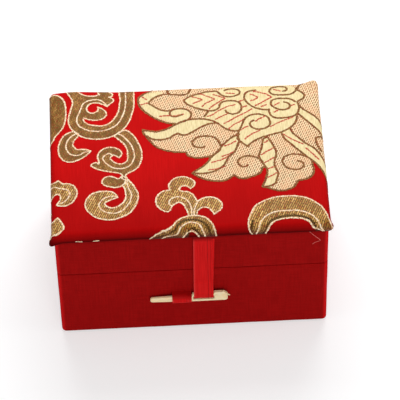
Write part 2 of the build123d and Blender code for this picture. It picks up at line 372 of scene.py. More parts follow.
def painted_fold_shade(material, colour, above, spread):
    """The colour, darkened to maroon as painted shade near the cover's lower fold, where the cloth rolls
    down and under the board.

    The dark starts above the fold and grows over a spread, both in mm.
    """
    place = add_node(material, "ShaderNodeSeparateXYZ", links={0: flat_cloth_place(material)})
    fold_shade = []
    for axis, core in enumerate((CORE_X, CORE_Y)):
        reach = times(material, place.outputs[axis], 0.0, "ABSOLUTE")
        start = core + FOLD_START - above
        fold_shade.append(between(material, reach, start * MM, (start + spread) * MM))
    share = times(material, times(material, *fold_shade, "MAXIMUM"), 0.92)
    return blend_colours(material, share, colour, "#480304")


def turned_thread(name, tones, spot, roughness, spot_share=0.56):
    """Wrapped thread: short turns of two tones across the cord, with darker spots where it is tied."""
    material, shader = start_material(name, roughness, {"Specular IOR Level": 0.1})
    place = flat_cloth_place(material, 25)
    # real turns are taken to be 0.3 mm wide, and are drawn 0.55 mm wide so that they show
    turns = streaks(material, place, 0.55, 0.55, 0.0)
    spots = streaks(material, place, 0.8, 0.8, 1.0)
    colour = blend_colours(material, between(material, turns, 0.38, 0.56), *tones)
    colour = tinted(material, colour, spots, spot_share, spot_share + 0.06, 0.8, spot)
    return finish_surface(material, shader, painted_fold_shade(material, colour, 0.0, 0.5), turns, 0.1, 0.6)


def rayon_satin_ground():
    """Warp-faced rayon satin: fine red threads from front to back, even, with a soft low sheen."""
    material, shader = start_material("rayon_satin_ground", 0.5, {"Specular IOR Level": 0.01})
    place = flat_cloth_place(material)
    # real warp threads are taken to be 0.1 mm apart, and are drawn 0.42 mm apart so that they show
    warp = stripes(material, place, 0.42, "X", 0.3)
    slubs = streaks(material, place, 0.5, 9, 2.0)
    cloud = streaks(material, place, 16, 22, 2.0)
    colour = blend_colours(material, between(material, slubs, 0.3, 0.7), "#C60D0D", "#D41212")
    colour = tinted(material, colour, cloud, 0.35, 0.7, 0.6, "#B80A0B")
    # painted shade: the cloth is darkened towards the front, away from the light above and behind
    spot = add_node(material, "ShaderNodeSeparateXYZ", links={0: place})
    colour = tinted(material, colour, spot.outputs[1], -2 * MM, -34 * MM, 0.45, "#8A0506")
    relief = times(material, times(material, warp, 0.5), slubs, "ADD")
    return finish_surface(material, shader, painted_fold_shade(material, colour, 4.4, 4.0), relief, 0.03, 0.5)


def gold_brown_weft():
    """Gold-brown rayon weft of the clouds at the back: short upright floats, packed close and dull."""
    material, shader = start_material("gold_brown_weft", 0.5, {"Specular IOR Level": 0.1})
    # real floats are taken to be 0.3 mm apart, and are drawn 0.6 mm apart so that they show
    floats, gaps = stitches(material, 20, 1.6, 0.6, 0.2, ("#92662A", "#CC9650"), "#4E3410", 0.3)
    return worn_gold(material, shader, floats, gaps, 0.6)


def slanted_gold_weft():
    """Gold rayon weft of the clouds in front: longer slanted floats with dark cloth between them."""
    material, shader = start_material("slanted_gold_weft", 0.45, {"Specular IOR Level": 0.15})
    # real floats are taken to be 0.3 mm apart, and are drawn 0.84 mm apart so that they show
    floats, gaps = stitches(material, 25, 3.2, 0.84, 0.34, ("#BA8230", "#FCCA76"), "#4A2E10", 0.15)
    return worn_gold(material, shader, floats, gaps, 0.35)


def worn_gold(material, shader, floats, gaps, dullness):
    """Dull patches and small red tie threads over the floats of a gold weft, and its relief."""
    place = flat_cloth_place(material)
    patches = streaks(material, place, 6, 8, 1.0)
    ties = streaks(material, place, 0.9, 0.9, 0.0)
    colour = tinted(material, floats, patches, 0.4, 0.62, dullness, "#6E4C1C")
    colour = tinted(material, colour, ties, 0.58, 0.66, 0.6, "#96381E")
    relief = times(material, gaps, -1)
    return finish_surface(material, shader, painted_fold_shade(material, colour, 4.4, 4.2), relief, 0.1, 0.6)


def shaded_brown_weft():
    """The dark brown weft along the inside of the two arches, in long floats with gold between."""
    material, shader = start_material("shaded_brown_weft", 0.5, {"Specular IOR Level": 0.08})
    # real floats are taken to be 0.3 mm apart, and are drawn 0.66 mm apart so that they show
    floats, gaps = stitches(material, 20, 1.8, 0.66, 0.24, ("#2A1608", "#4A3014"), "#86642F", 0.3)
    relief = times(material, gaps, -1)
    return finish_surface(material, shader, painted_fold_shade(material, floats, 4.4, 4.2), relief, 0.08, 0.6)


def peach_stitched_weft():
    """Pale gold weft tied down by staggered small red-brown stitches, as in the flower's body."""
    material, shader = start_material("peach_stitched_weft", 0.5, {"Specular IOR Level": 0.1})
    # real stitches are taken to be 0.3 mm apart, and are drawn 0.84 mm apart so that they show
    colour, gaps = stitches(material, 24, 1.9, 0.84, 0.5, ("#7A461C", "#C87C56"), "#FFE6B8", 0.25)
    place = flat_cloth_place(material)
    patches = streaks(material, place, 8, 8, 1.0)
    colour = tinted(material, colour, patches, 0.4, 0.65, 0.35, "#F0B484")
    return finish_surface(material, shader, colour, gaps, 0.08, 0.6)


def pale_gold_weft():
    """Pale gold weft in long smooth floats, the light parts of the petals."""
    material, shader = start_material("pale_gold_weft", 0.5, {"Specular IOR Level": 0.1})
    place = flat_cloth_place(material, 3)
    # real floats are taken to be 0.3 mm wide, and are drawn 0.5 mm wide so that they show
    threads = streaks(material, place, 0.5, 3.2, 1.0)
    colour = blend_colours(material, between(material, threads, 0.3, 0.7), "#E2CC94", "#F8E6B4")
    return finish_surface(material, shader, colour, threads, 0.06, 0.6)


def plain_woven_cloth():
    """Dark red plain-woven cotton over board: fine even weave, matt, with a few thicker threads."""
    material, shader = start_material(
        "plain_woven_red_cloth", 0.75,
        {
            "Specular IOR Level": 0.03, "Sheen Weight": 0.12, "Sheen Roughness": 0.4,
            "Sheen Tint": linear("#F02024"),
        },
    )
    dark, light = "#940A0A", "#A40E0E"
    place = flat_cloth_place(material)
    # real threads are taken to be 0.2 mm apart, and are drawn 0.5 mm apart so that they show
    warp = stripes(material, place, 0.5, "X", 0.4)
    weft = stripes(material, place, 0.5, "Y", 0.4)
    slubs = streaks(material, place, 8, 0.6, 2.0)
    uprights = streaks(material, place, 0.7, 10, 2.0)
    cloud = streaks(material, place, 14, 14, 3.0)
    weave = times(material, warp, weft)
    thick = between(material, times(material, slubs, uprights, "ADD"), 0.8, 1.2)
    colour = blend_colours(material, thick, dark, light)
    colour = tinted(material, colour, cloud, 0.35, 0.7, 0.4, dark)
    # painted highlight: the cloth is brighter along the box's upright edges, where their rounding catches
    # the side light
    spot = add_node(material, "ShaderNodeSeparateXYZ", links={0: object_place(material)})
    _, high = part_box("base_cloth")
    lighter_parts = []
    for axis in (0, 1):
        reach = times(material, spot.outputs[axis], 0.0, "ABSOLUTE")
        lighter_parts.append(between(material, reach, high[axis] - 1.9 * MM, high[axis] - 0.5 * MM))
    colour = blend_colours(material, times(material, times(material, *lighter_parts), 0.8), colour, "#DC1418")
    # and darker just below the cover's edge: painted shadow of the overhanging cover
    colour = tinted(material, colour, spot.outputs[2], 57.0 * MM, 59.8 * MM, 0.6, "#480304")
    relief = times(material, weave, times(material, slubs, uprights, "ADD"), "ADD")
    return finish_surface(material, shader, colour, relief, 0.05, 0.5)


def satin_ribbon(name, shade, clear_at, shaded_at):
    """Red polyester satin ribbon: bright, with fine lengthwise threads and a soft long gloss.

    It has a paler hem at one edge and two crease lines near the other, darkened as painted shade,
    and it turns darker with painted shade between two places along it, in mm.
    """
    material, shader = start_material(name, 0.42, {"Specular IOR Level": 0.03, "Anisotropic": 0.4})
    place = flat_cloth_place(material)
    # real threads are taken to be 0.1 mm wide, and are drawn 0.3 mm wide so that they show
    threads = streaks(material, place, 0.3, 12, 1.0)
    cross = stripes(material, place, 0.5, "Y", 0.2)
    colour = blend_colours(material, between(material, threads, 0.35, 0.65), "#CA1415", "#DC1B1C")
    spot = add_node(material, "ShaderNodeSeparateXYZ", links={0: place})
    colour = tinted(material, colour, spot.outputs[0], 1.0 * MM, 0.4 * MM, 0.7, "#DC3A38")
    # two crease lines near the far edge: sunk in the relief, and darkened with painted shade
    creases = []
    for middle, width in ((7.5, 0.22), (8.9, 0.18)):
        apart = times(material, times(material, spot.outputs[0], middle * MM, "SUBTRACT"), 0.0, "ABSOLUTE")
        creases.append(between(material, apart, width * MM, 0.0))
    crease = times(material, *creases, "MAXIMUM")
    colour = blend_colours(material, times(material, crease, 0.7), colour, "#780A0A")
    shaded = between(material, spot.outputs[1], clear_at * MM, shaded_at * MM)
    colour = blend_colours(material, shaded, colour, shade)
    relief = times(material, threads, times(material, cross, 0.3), "ADD")
    return finish_surface(material, shader, colour, times(material, relief, crease, "SUBTRACT"), 0.04, 0.5)


def loose_red_yarn():
    """A frayed end of pale red spun yarn: matt and hairy, lighter than the cloth that it lies on."""
    material, shader = start_material("loose_red_yarn", 0.8, {"Specular IOR Level": 0.05})
    place = object_place(material)
    hairs = streaks(material, place, 0.4, 0.2, 1.0)
    colour = blend_colours(material, between(material, hairs, 0.35, 0.65), "#D8504C", "#F08A82")
    return finish_surface(material, shader, colour, hairs, 0.05, 0.6)


def lining_satin():
    """Dark red lining satin: smooth, glossy, with long fine threads and faint pull marks."""
    material, shader = start_material("dark_red_lining_satin", 0.4, {"Specular IOR Level": 0.2})
    place = flat_cloth_place(material)
    # real threads are taken to be 0.1 mm wide, and are drawn 0.35 mm wide so that they show
    threads = streaks(material, place, 0.35, 10, 1.0)
    pulls = streaks(material, place, 18, 6, 2.0)
    colour = blend_colours(material, between(material, threads, 0.3, 0.7), "#9A0D14", "#B0141B")
    relief = times(material, threads, times(material, pulls, 3.0), "ADD")
    return finish_surface(material, shader, colour, relief, 0.05, 0.5)


def object_place(material):
    return add_node(material, "ShaderNodeTexCoord").outputs["Object"]


def uncoated_greyboard():
    """Uncoated greyboard: matt pressed waste fibre with pale and dark flecks."""
    material, shader = start_material("uncoated_greyboard", 0.9, {"Specular IOR Level": 0.2})
    place = object_place(material)
    fibre = streaks(material, place, 0.5, 1.5, 3.0)
    flecks = streaks(material, place, 0.8, 0.6, 0.0)
    colour = blend_colours(material, between(material, fibre, 0.3, 0.7), "#97907F", "#B8B1A2")
    colour = tinted(material, colour, flecks, 0.68, 0.74, 0.7, "#5E584D")
    return finish_surface(material, shader, colour, fibre, 0.05, 0.6)


def uncoated_red_paper():
    """Dark red uncoated paper glued under the box: matt, with a faint fibre cloud and rubbed spots."""
    material, shader = start_material("uncoated_red_paper", 0.85, {"Specular IOR Level": 0.25})
    place = object_place(material)
    fibre = streaks(material, place, 0.6, 0.9, 3.0)
    lighter_parts = streaks(material, place, 11, 8, 3.0)
    colour = blend_colours(material, between(material, fibre, 0.3, 0.7), "#700A10", "#841118")
    colour = tinted(material, colour, lighter_parts, 0.55, 0.8, 0.5, "#9A2A2C")
    return finish_surface(material, shader, colour, fibre, 0.03, 0.6)


def polyester_wadding():
    """White polyester wadding: a soft mat of crimped fibres, fully matt."""
    material, shader = start_material("white_polyester_wadding", 0.95, {"Sheen Weight": 0.3})
    place = object_place(material)
    crimp = streaks(material, place, 0.5, 1.2, 4.0)
    tufts = streaks(material, place, 5, 4, 2.0)
    colour = blend_colours(material, between(material, crimp, 0.3, 0.7), "#D9D7D1", "#F4F3F0")
    return finish_surface(material, shader, colour, times(material, crimp, tufts, "ADD"), 0.4, 0.7)


def ivory_plastic():
    """Moulded ivory-coloured plastic: smooth, a little waxy, faintly mottled, with fine scratches."""
    material, shader = start_material(
        "moulded_ivory_plastic", 0.34, {"IOR": 1.49, "Subsurface Weight": 0.1, "Subsurface Scale": 0.001}
    )
    place = object_place(material)
    mottle = streaks(material, place, 2.2, 2.2, 2.0)
    scratches = streaks(material, place, 6, 0.12, 0.0)
    colour = blend_colours(material, between(material, mottle, 0.3, 0.7), "#FFE0AC", "#FFEEC2")
    colour = tinted(material, colour, scratches, 0.66, 0.74, 0.35, "#C9AE78")
    return finish_surface(material, shader, colour, scratches, 0.02, 0.4)


# The padded cover

cover_low, cover_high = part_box("cover_brocade")
COVER_X, COVER_Y = cover_high.x / MM, cover_high.y / MM
COVER_UNDER, COVER_TOP = cover_low.z / MM, cover_high.z / MM
COVER_CORNER, COVER_ROLL, COVER_CROWN = 2.4, 2.0, 1.2
COVER_ROUND = (COVER_X ** 2 + COVER_Y ** 2) / (2 * COVER_CROWN)
COVER_SIDE, COVER_FOLD, COVER_TURNED = 2.8, 0.6, 8.0
CORE_X, CORE_Y = COVER_X - COVER_CORNER, COVER_Y - COVER_CORNER
ROLL_START = COVER_CORNER - COVER_ROLL
ROLL_END = ROLL_START + COVER_ROLL * math.pi / 2
FOLD_END = ROLL_END + COVER_SIDE
FOLD_START = FOLD_END - COVER_FOLD * math.pi / 2
CLOTH_END = FOLD_END + COVER_TURNED


def soft_bump(x, y, x0, y0, spread):
    return math.exp(-((x - x0) ** 2 + (y - y0) ** 2) / (2 * spread ** 2))


def crown_height(x, y):
    """The padded top's height in mm without its pulls: crowned, and soft towards its edges."""
    edge = max(0.0, min(COVER_X - abs(x), COVER_Y - abs(y)))
    return COVER_TOP - (x ** 2 + y ** 2) / (2 * COVER_ROUND) - 0.9 * math.exp(-edge / 3.5)


# how deep the wadding's wide pulls are, in mm
PULL_DEPTH = 0.10


def cover_height(x, y):
    """The padded top's height in mm, with its raised back corner and faint pulls."""
    height = crown_height(x, y)
    height += 1.9 * soft_bump(x, y, -48, COVER_Y, 10)
    height += PULL_DEPTH * noise.noise(Vector((x / 17, y / 11, 3.1))) - PULL_DEPTH
    height += 0.05 * noise.noise(Vector((x / 4.0, y / 9, 8.4)))
    return height


def cover_point(u, v, lift=0.0):
    """Where a point of the flat brocade, in mm, lies on the padded cover."""
    du, dv = max(0.0, abs(u) - CORE_X), max(0.0, abs(v) - CORE_Y)
    out = max(du, dv)
    core_x = math.copysign(min(abs(u), CORE_X), u)
    core_y = math.copysign(min(abs(v), CORE_Y), v)
    turn = math.atan2(dv, du)
    way_x = math.copysign(math.cos(turn), u) if out else 0.0
    way_y = math.copysign(math.sin(turn), v) if out else 0.0
    tilt = min(max((out - ROLL_START) / COVER_ROLL, 0.0), math.pi / 2)
    reach = min(out, ROLL_START) + COVER_ROLL * math.sin(tilt) + lift * math.sin(tilt)
    # the front bulges over the lid
    reach += 0.8 * math.sin(tilt) * max(0.0, -way_y)
    under = min(max((out - FOLD_START) / (FOLD_END - FOLD_START), 0.0), 1.0) * math.pi / 2
    reach -= (COVER_FOLD + lift) * (1 - math.cos(under))
    if out > ROLL_END:
        pucker = min(1.0, (out - ROLL_END) / 2)
        reach += 0.12 * pucker * noise.noise(Vector((core_x / 5 + way_x, core_y / 5 + way_y, 5.5)))
    x, y = core_x + way_x * reach, core_y + way_y * reach
    z = cover_height(x, y) - COVER_ROLL * (1 - math.cos(tilt)) + lift * math.cos(tilt)
    # the folded corner at the back right stands up in a small peak
    peak = soft_bump(x, y, COVER_X - 1.5, COVER_Y - 1.0, 3.0)
    z += 1.6 * peak
    x += 0.2 * peak
    y += 1.0 * peak
    # the pleat at the front right corner stands out sideways in a small point
    pleat = soft_bump(x, y, COVER_X, -COVER_Y, 1.7) * tilt / (math.pi / 2)
    x += 1.0 * pleat
    y -= 0.2 * pleat
    # the folded corner at the front left hangs in a point below the board
    tip = soft_bump(x, y, -COVER_X, -COVER_Y, 1.8) * (tilt / (math.pi / 2)) ** 2
    inward = max(0.0, (out - FOLD_END) / COVER_TURNED)
    tip *= max(0.0, 1 - 5 * inward)
    if out > ROLL_END:
        down = min((out - ROLL_END) / (FOLD_START - ROLL_END), 1.0)
        x -= 1.3 * tip * down
        y -= 1.0 * tip * down
        z += (COVER_UNDER + 0.15 + COVER_FOLD - z) * down - 1.6 * tip * down
        z -= (COVER_FOLD + lift) * math.sin(under)
    if inward:
        x += (math.copysign(min(abs(x), COVER_X - COVER_TURNED), x) - x) * inward
        y += (math.copysign(min(abs(y), COVER_Y - COVER_TURNED), y) - y) * inward
    return x, y, z


def cover_lines(core):
    """Grid lines over the cover in one direction: even on top, close together round the roll."""
    edge = [core + s for s in even_steps(0, ROLL_START, 0.4)[1:]]
    edge += [core + s for s in even_steps(ROLL_START, ROLL_END, 0.4)[1:]]
    edge += [core + s for s in even_steps(ROLL_END, FOLD_START, 0.7)[1:]]
    edge += [core + s for s in even_steps(FOLD_START, FOLD_END, 0.3)[1:]]
    edge += [core + s for s in even_steps(FOLD_END, CLOTH_END, 2.0)[1:]]
    return [-s for s in reversed(edge)] + even_steps(-core, core, 1.1) + edge


def smooth_outline(points, closed, width=0.0):
    """A smooth curve through points in mm; a point with a third value is a sharp turn.

    With a width it is a round cord of that width, and without one a flat filled shape.
    """
    curve = bpy.data.curves.new("line", "CURVE")
    curve.dimensions = "3D" if width else "2D"
    curve.resolution_u = 8
    if width:
        curve.bevel_depth = width / 2
        curve.bevel_resolution = 0
        curve.use_fill_caps = True
    else:
        curve.fill_mode = "BOTH"
    spline = curve.splines.new("BEZIER")
    spline.bezier_points.add(len(points) - 1)
    spline.use_cyclic_u = closed
    for handle, point in zip(spline.bezier_points, points):
        handle.co = (point[0], point[1], 0)
        kind = "VECTOR" if len(point) > 2 else "AUTO"
        handle.handle_left_type = handle.handle_right_type = kind
    piece = bpy.data.objects.new("line", curve)
    bpy.context.scene.collection.objects.link(piece)
    make_active(piece)
    bpy.ops.object.convert(target="MESH")
    return bpy.context.object


def cut_to_grid(piece):
    """Cuts a flat filled shape along the ground's own grid lines, so that it follows the ground."""
    shape = bmesh.new()
    shape.from_mesh(piece.data)
    for axis, core in enumerate((CORE_X, CORE_Y)):
        places = [v.co[axis] for v in shape.verts]
        for line in cover_lines(core):
            if min(places) < line < max(places):
                point, normal = Vector((0, 0, 0)), Vector((0, 0, 0))
                point[axis], normal[axis] = line, 1
                bmesh.ops.bisect_plane(
                    shape, geom=shape.verts[:] + shape.edges[:] + shape.faces[:],
                    plane_co=point, plane_no=normal,
                )
    shape.to_mesh(piece.data)
    shape.free()


def lay_on_cover(piece, lift, flatten=1.0):
    """Lays flat figures in mm on the cover; what stands above 0 there stands proud of the cloth."""
    layer = piece.data.uv_layers.active or piece.data.uv_layers.new(name="UVMap")
    flat = [(v.co.x * MM, v.co.y * MM) for v in piece.data.vertices]
    for loop in piece.data.loops:
        layer.data[loop.index].uv = flat[loop.vertex_index]
    for vertex in piece.data.vertices:
        u, v, z = vertex.co
        if flatten < 1:
            # wrapped thread lies a little unevenly
            u += 0.2 * noise.noise(Vector((u * 1.7, v * 1.7, 0.5)))
            v += 0.2 * noise.noise(Vector((u * 1.7, v * 1.7, 7.5)))
        vertex.co = Vector(cover_point(u, v, lift + z * flatten)) * MM


def join(pieces):
    make_active(pieces[0])
    for piece in pieces:
        piece.select_set(True)
    if len(pieces) > 1:
        bpy.ops.object.join()
    return bpy.context.object


def woven_patches(name, material, outlines, lift, height=0.05):
    """Filled woven figures, laid on the cover as thin patches of weft."""
    made = []
    for outline in outlines:
        patch = smooth_outline(outline, True)
        cut_to_grid(patch)
        made.append(patch)
    patches = join(made)
    lay_on_cover(patches, lift)
    merge_edges(patches, 0.001)
    if patches.data.polygons and sum(p.normal.z * p.area for p in patches.data.polygons) < 0:
        patches.data.flip_normals()
    thicken(patches, height)
    return dress(patches, name, material, "lid", 60)


def woven_lines(name, material, lines, lift, flatten=0.22):
    """Outlines and inner lines of the figures, in thick thread. Each is (points, closed, width)."""
    made = [smooth_outline(points, closed, width) for points, closed, width in lines]
    threads = join(made)
    lay_on_cover(threads, lift, flatten)
    return dress(threads, name, material, "lid", 80)


# Figures of the brocade, in mm from the middle of the cover. Their points were read
# off the photograph's view of the cover, laid flat under a millimetre grid. A third value
# marks a sharp turn. The figures run over the cover's edges, as the cloth was cut.
LEFT_LOBE = [
    (-61, 36), (-58.5, 37.4), (-55.5, 36.9), (-53.9, 36.7), (-52.3, 35.6), (-50.9, 33.8), (-50, 31.2),
    (-49.7, 28.2), (-49.8, 24.5), (-50.2, 21.6), (-51.2, 18.7), (-52.9, 16.2), (-54.4, 14.3),
    (-55.6, 12), (-59, 9.5, 1), (-62, 14),
]
BIG_SCROLL = [
    (-50.2, 42, 1), (-49.7, 38.9), (-48.6, 36.6), (-47.4, 34.1), (-46.8, 32), (-47.1, 29.5),
    (-47.8, 27), (-48.5, 24.1), (-48.7, 21.6), (-48, 18.7), (-46.8, 16.6), (-45, 14.5), (-42.6, 12.8),
    (-39.7, 11.7), (-36.3, 11.2), (-33, 11.6), (-30.1, 12.6), (-27.6, 14.3), (-25.5, 16.6),
    (-23.8, 19.5), (-22.6, 22.8), (-21.7, 26.2), (-21.2, 29.5), (-21.1, 33.7), (-21, 37.2), (-21, 43, 1),
    (-27.4, 43, 1), (-27.2, 37.2), (-26.8, 33.7), (-27.1, 30.7), (-27.4, 27.8), (-28.2, 24.9),
    (-29.7, 22), (-31.7, 19.7), (-34.2, 18.6), (-36.7, 18.6), (-39.2, 19.2), (-41.3, 20.4),
    (-42.4, 22), (-42.3, 23.3, 1), (-40.5, 22.4), (-38, 21.8), (-35.5, 22), (-33.6, 23.2),
    (-32.8, 24.9), (-33.4, 26.8), (-34.9, 28.2), (-36.4, 29, 1), (-36.1, 27.6), (-37.2, 26.2),
    (-38.8, 25.7), (-40.3, 26.4), (-41, 28), (-40.3, 29.9), (-38.4, 31.1), (-36.3, 31.2),
    (-34.2, 30.5), (-32.5, 29.2, 1), (-31.3, 30.5), (-30, 31.8), (-29.7, 33), (-30.5, 34.1),
    (-31.5, 34.5, 1), (-30.1, 35.5), (-30.2, 36.8), (-31.3, 37.6), (-31.6, 42, 1), (-36.4, 42, 1),
    (-36.6, 39.5), (-36.2, 37.4), (-35.4, 36.2, 1), (-37.2, 35.3), (-39.7, 35.1), (-42, 35.7),
    (-43.6, 36.8), (-44.9, 38.5), (-45.6, 42, 1),
]
BIG_SCROLL_LINE = [
    (-32.6, 29.5), (-33.8, 31.6), (-35.9, 33), (-38, 33), (-40.5, 32.2), (-42.4, 30.7), (-43.4, 28.2),
    (-44.2, 25.7), (-45.1, 23.2), (-44.9, 20.3), (-43.4, 18.2), (-41.3, 16.8), (-39.2, 16), (-35.9, 15.5),
    (-32.6, 16.2), (-30.1, 17.4), (-28, 19.5), (-26.5, 22.4), (-25.3, 26.2), (-24.7, 29.5),
    (-24.5, 33.7), (-24.5, 43),
]
COMMA = [
    (-46.6, 16.4, 1), (-49.7, 15.1), (-51.7, 12.8), (-52.8, 9.5), (-53.1, 6.2), (-52.4, 2.8),
    (-50.5, 0.3), (-47.6, -0.5), (-45.1, 0.3), (-42.6, 1.8), (-40.7, 3.7), (-39.7, 4.9, 1),
    (-41.3, 5.7), (-43.4, 6.1), (-45.1, 6.1), (-46.3, 7.2), (-47.1, 9.1), (-46.5, 11.2),
    (-44.9, 13.3, 1), (-44.6, 14.6, 1),
]
COMMA_LINE = [
    (-45.9, 14.7), (-48, 13.2), (-49.5, 10.7), (-49.9, 7.8), (-49, 4.9), (-47, 3.2), (-44.7, 3),
    (-42.6, 4.2), (-40.4, 4.9),
]
CURL = [
    (-27.6, 14.6, 1), (-25.1, 15.3), (-23, 13.7), (-21.1, 10.7), (-19.9, 7.4), (-19, 4.5), (-18.7, 1.2),
    (-19, -1.3), (-20.1, -4.7), (-22.2, -7), (-24.7, -8.4), (-25.7, -9.5), (-25.4, -11.5),
    (-26.8, -11.5), (-27.2, -9), (-28.8, -8), (-31.3, -7.4), (-34.2, -6.5), (-37.2, -5.3), (-39, -4),
    (-39.7, -3), (-38.8, -2), (-37.4, -1.8), (-36.5, -2.6, 1), (-36.6, -0.5), (-36.9, 0.9),
    (-36.7, 2.8), (-35.5, 4.7), (-33.4, 6.1), (-30.9, 6.2), (-28.8, 5.3), (-27.4, 3.9), (-27, 2.2),
    (-28, 0.3, 1), (-29.2, 1.3), (-30.5, 2, 1), (-31.7, 0.3), (-30.9, -1.3), (-29.2, -2.7),
    (-27.2, -3.2), (-25.1, -2), (-24.5, -0.1), (-24.5, 1.2), (-24.7, 4.5), (-25.7, 7.4),
    (-27.6, 9.9), (-29.9, 12.4, 1),
]
CURL_LINE = [
    (-28.6, 13.7), (-26.7, 12.6), (-24.7, 9.9), (-23, 7), (-22.1, 3.7), (-21.8, 0.3), (-22.2, -1.3),
    (-23.4, -3.8), (-25.5, -5.3), (-28, -5.7), (-30.5, -5.1), (-32.6, -3.4), (-34.2, -1.3),
    (-34.8, 0.7), (-33.4, 2.4), (-32.2, 3), (-30.9, 2.1),
]
SMALL_LOBE = [
    (-25.4, -11, 1), (-25.1, -13), (-26.3, -14), (-27.6, -15.1), (-29.7, -15.7), (-32.2, -15.3),
    (-34.5, -14.2), (-35.4, -12.6), (-34.7, -10.7), (-32.6, -9.7), (-30.5, -10.2), (-28.8, -11.3, 1),
    (-27.6, -10.3), (-27.1, -9.4, 1),
]
HOOK = [
    (-25.6, -10.9, 1), (-23.8, -13.4), (-22, -16.7), (-20.9, -20.1), (-21.3, -23.4), (-22.8, -27.2),
    (-25.1, -29.9), (-28, -31.5), (-31.3, -32.5), (-35.1, -32.2), (-38, -31.1), (-40.5, -28.8),
    (-42.2, -26.3), (-42.5, -23.4), (-41.7, -20.9), (-40.1, -18.8), (-37.2, -17.6), (-34.2, -17.5),
    (-31.3, -18.2), (-29.9, -19.7), (-29.2, -21.1, 1), (-30.9, -21.7), (-33, -22.6), (-34.5, -23.8),
    (-34.2, -25.1), (-32.6, -26.3), (-30.5, -26.3), (-28.4, -25.3), (-26.7, -23.4), (-25.9, -21.3),
    (-26, -18.8), (-26.4, -16.3), (-27.2, -14.9, 1), (-26, -13.2),
]
HOOK_LINE = [
    (-25.3, -13.8), (-24.7, -16.7), (-23.7, -19.7), (-24, -22.6), (-25.1, -25.1), (-27, -27.6),
    (-29.2, -29), (-32.2, -29.2), (-34.7, -28.2), (-36.5, -26.3), (-37, -24.5), (-36.1, -22.6),
    (-34.7, -21.1), (-32.2, -20.3), (-29.7, -20.7),
]
EDGE_CURL = [
    (-57.5, -10.2, 1), (-54.9, -10.9), (-53.6, -10.2), (-52.6, -10.9), (-51.7, -12), (-49.7, -12.1),
    (-47.6, -13), (-46.3, -14.9), (-45.8, -17), (-46.3, -19.7), (-47.6, -22), (-49.5, -23.4),
    (-51.7, -23.8), (-54.2, -23, 1), (-53.2, -21.3), (-52.6, -19.9), (-52.8, -18), (-53.8, -17.2),
    (-55.2, -17.8), (-57.5, -20, 1), (-60.5, -17), (-60, -12),
]
EDGE_CURL_LINE = [
    (-57, -13), (-54.7, -13.4), (-53.4, -14), (-51.7, -14.6), (-49.9, -15.3), (-48.8, -17.2),
    (-49.2, -19.2), (-50.5, -21.1), (-52.2, -22.2), (-53.6, -22.4),
]
EDGE_LEAF = [
    (-57.5, -31.5), (-55.4, -31), (-53.9, -29.7, 1), (-53, -30.9), (-52, -33.2), (-51.4, -34.8),
    (-52.6, -36.9), (-54.2, -37.8), (-56, -38.2), (-58.5, -38.4, 1), (-60, -37),
]
SPRIG = [
    (-0.7, -32.6, 1), (-1.2, -30.5), (-1.9, -28.6), (-2.9, -26.3), (-4.4, -25.3), (-5.8, -25.9),
    (-7.5, -27.4), (-8.1, -29), (-9.4, -30), (-11.2, -29.2), (-12.9, -27.4), (-13.8, -25.1),
    (-13.5, -22.6), (-12.1, -20.1), (-10, -18.9), (-7.8, -18.7, 1), (-8.3, -16.7), (-7.7, -14.7),
    (-6, -12.8), (-3.7, -11.9), (-1.2, -12.1), (0.8, -13.2), (2.2, -14.9), (2.1, -16.7),
    (0.5, -18.5, 1), (-0.4, -17.4), (-2.3, -16.8), (-3.7, -17.6), (-4, -18.8), (-2.9, -19.7),
    (-0.8, -20), (0.8, -21.1), (2.1, -23.2), (3, -25.5, 1), (4.6, -24.2), (7.1, -23.3), (10, -23.8),
    (12.1, -25.5), (13, -27.8), (12.1, -30.1), (10.6, -31.3), (9.4, -32.3, 1), (8.7, -30.7),
    (7.3, -29), (5.4, -28.5), (3.7, -29.3), (2.7, -30.9), (2.5, -32.6, 1),
]
SPRIG_LINES = [
    [(-7.4, -27.3), (-8.5, -25.7), (-8.3, -24.2), (-6.7, -22.8), (-4.6, -22.4), (-2.5, -23.2),
     (-0.8, -24.9), (0, -26.7), (0.4, -28.8), (0.5, -32.4)],
    [(3, -25.7), (2.1, -28), (1.5, -30.2), (1.4, -32.4)],
]
LEFT_ARCH = [
    (-19, -46, 1), (-16.7, -42), (-15, -40.1), (-12.5, -38.8), (-10, -38.2), (-7.9, -37.4),
    (-6.2, -35.3), (-4.2, -33.8), (-1.7, -32.9), (0.8, -32.5), (3.3, -32.8), (5.8, -33.8), (7.7, -35.7),
    (9, -37.8), (9.7, -40.1), (9.9, -42), (10.2, -46, 1), (3.1, -46, 1), (2.9, -42), (2.3, -40.4),
    (0.8, -39), (-0.8, -39), (-2.3, -40.1), (-3.4, -42), (-4.5, -46, 1),
]
LEFT_ARCH_LINES = [
    [(-13.5, -45), (-10.8, -41.3), (-7.9, -40.5), (-5.8, -39.7), (-4.6, -38), (-2.5, -36.5), (0, -35.8),
     (2.5, -36.5), (4.2, -38.2), (5.2, -40.5), (5.6, -45)],
]
RIGHT_ARCH = [
    (25.4, -46, 1), (24.2, -41.4), (23.2, -38.8), (23.4, -35.5), (24.7, -32.2), (26.3, -29), (28.8, -27.2),
    (31.7, -25.7), (35.1, -24.7), (38.4, -24.4), (42.2, -24.4), (45.5, -24.9), (48.4, -26.1),
    (51.3, -28.2), (53.6, -30.9), (55.1, -34.2), (56, -37.6), (57, -41), (59, -46, 1), (54, -46, 1),
    (52.4, -41.2), (51.2, -40), (49.4, -39.2), (47.9, -37.6), (45.9, -36.4), (43, -35.7),
    (39.7, -35.6), (36.3, -36), (33.4, -37), (31.3, -38.8), (30, -41.5), (29.5, -46, 1),
]
RIGHT_ARCH_LINES = [
    [(25.6, -46), (26.5, -40.6), (27.6, -38), (29.2, -35.5), (31.7, -33.4), (34.7, -32.2), (38, -31.9),
     (41.7, -31.9), (45.1, -32.4), (48, -33.8), (50.1, -35.7), (51.5, -37.8), (52.9, -40.6), (54, -46)],
]
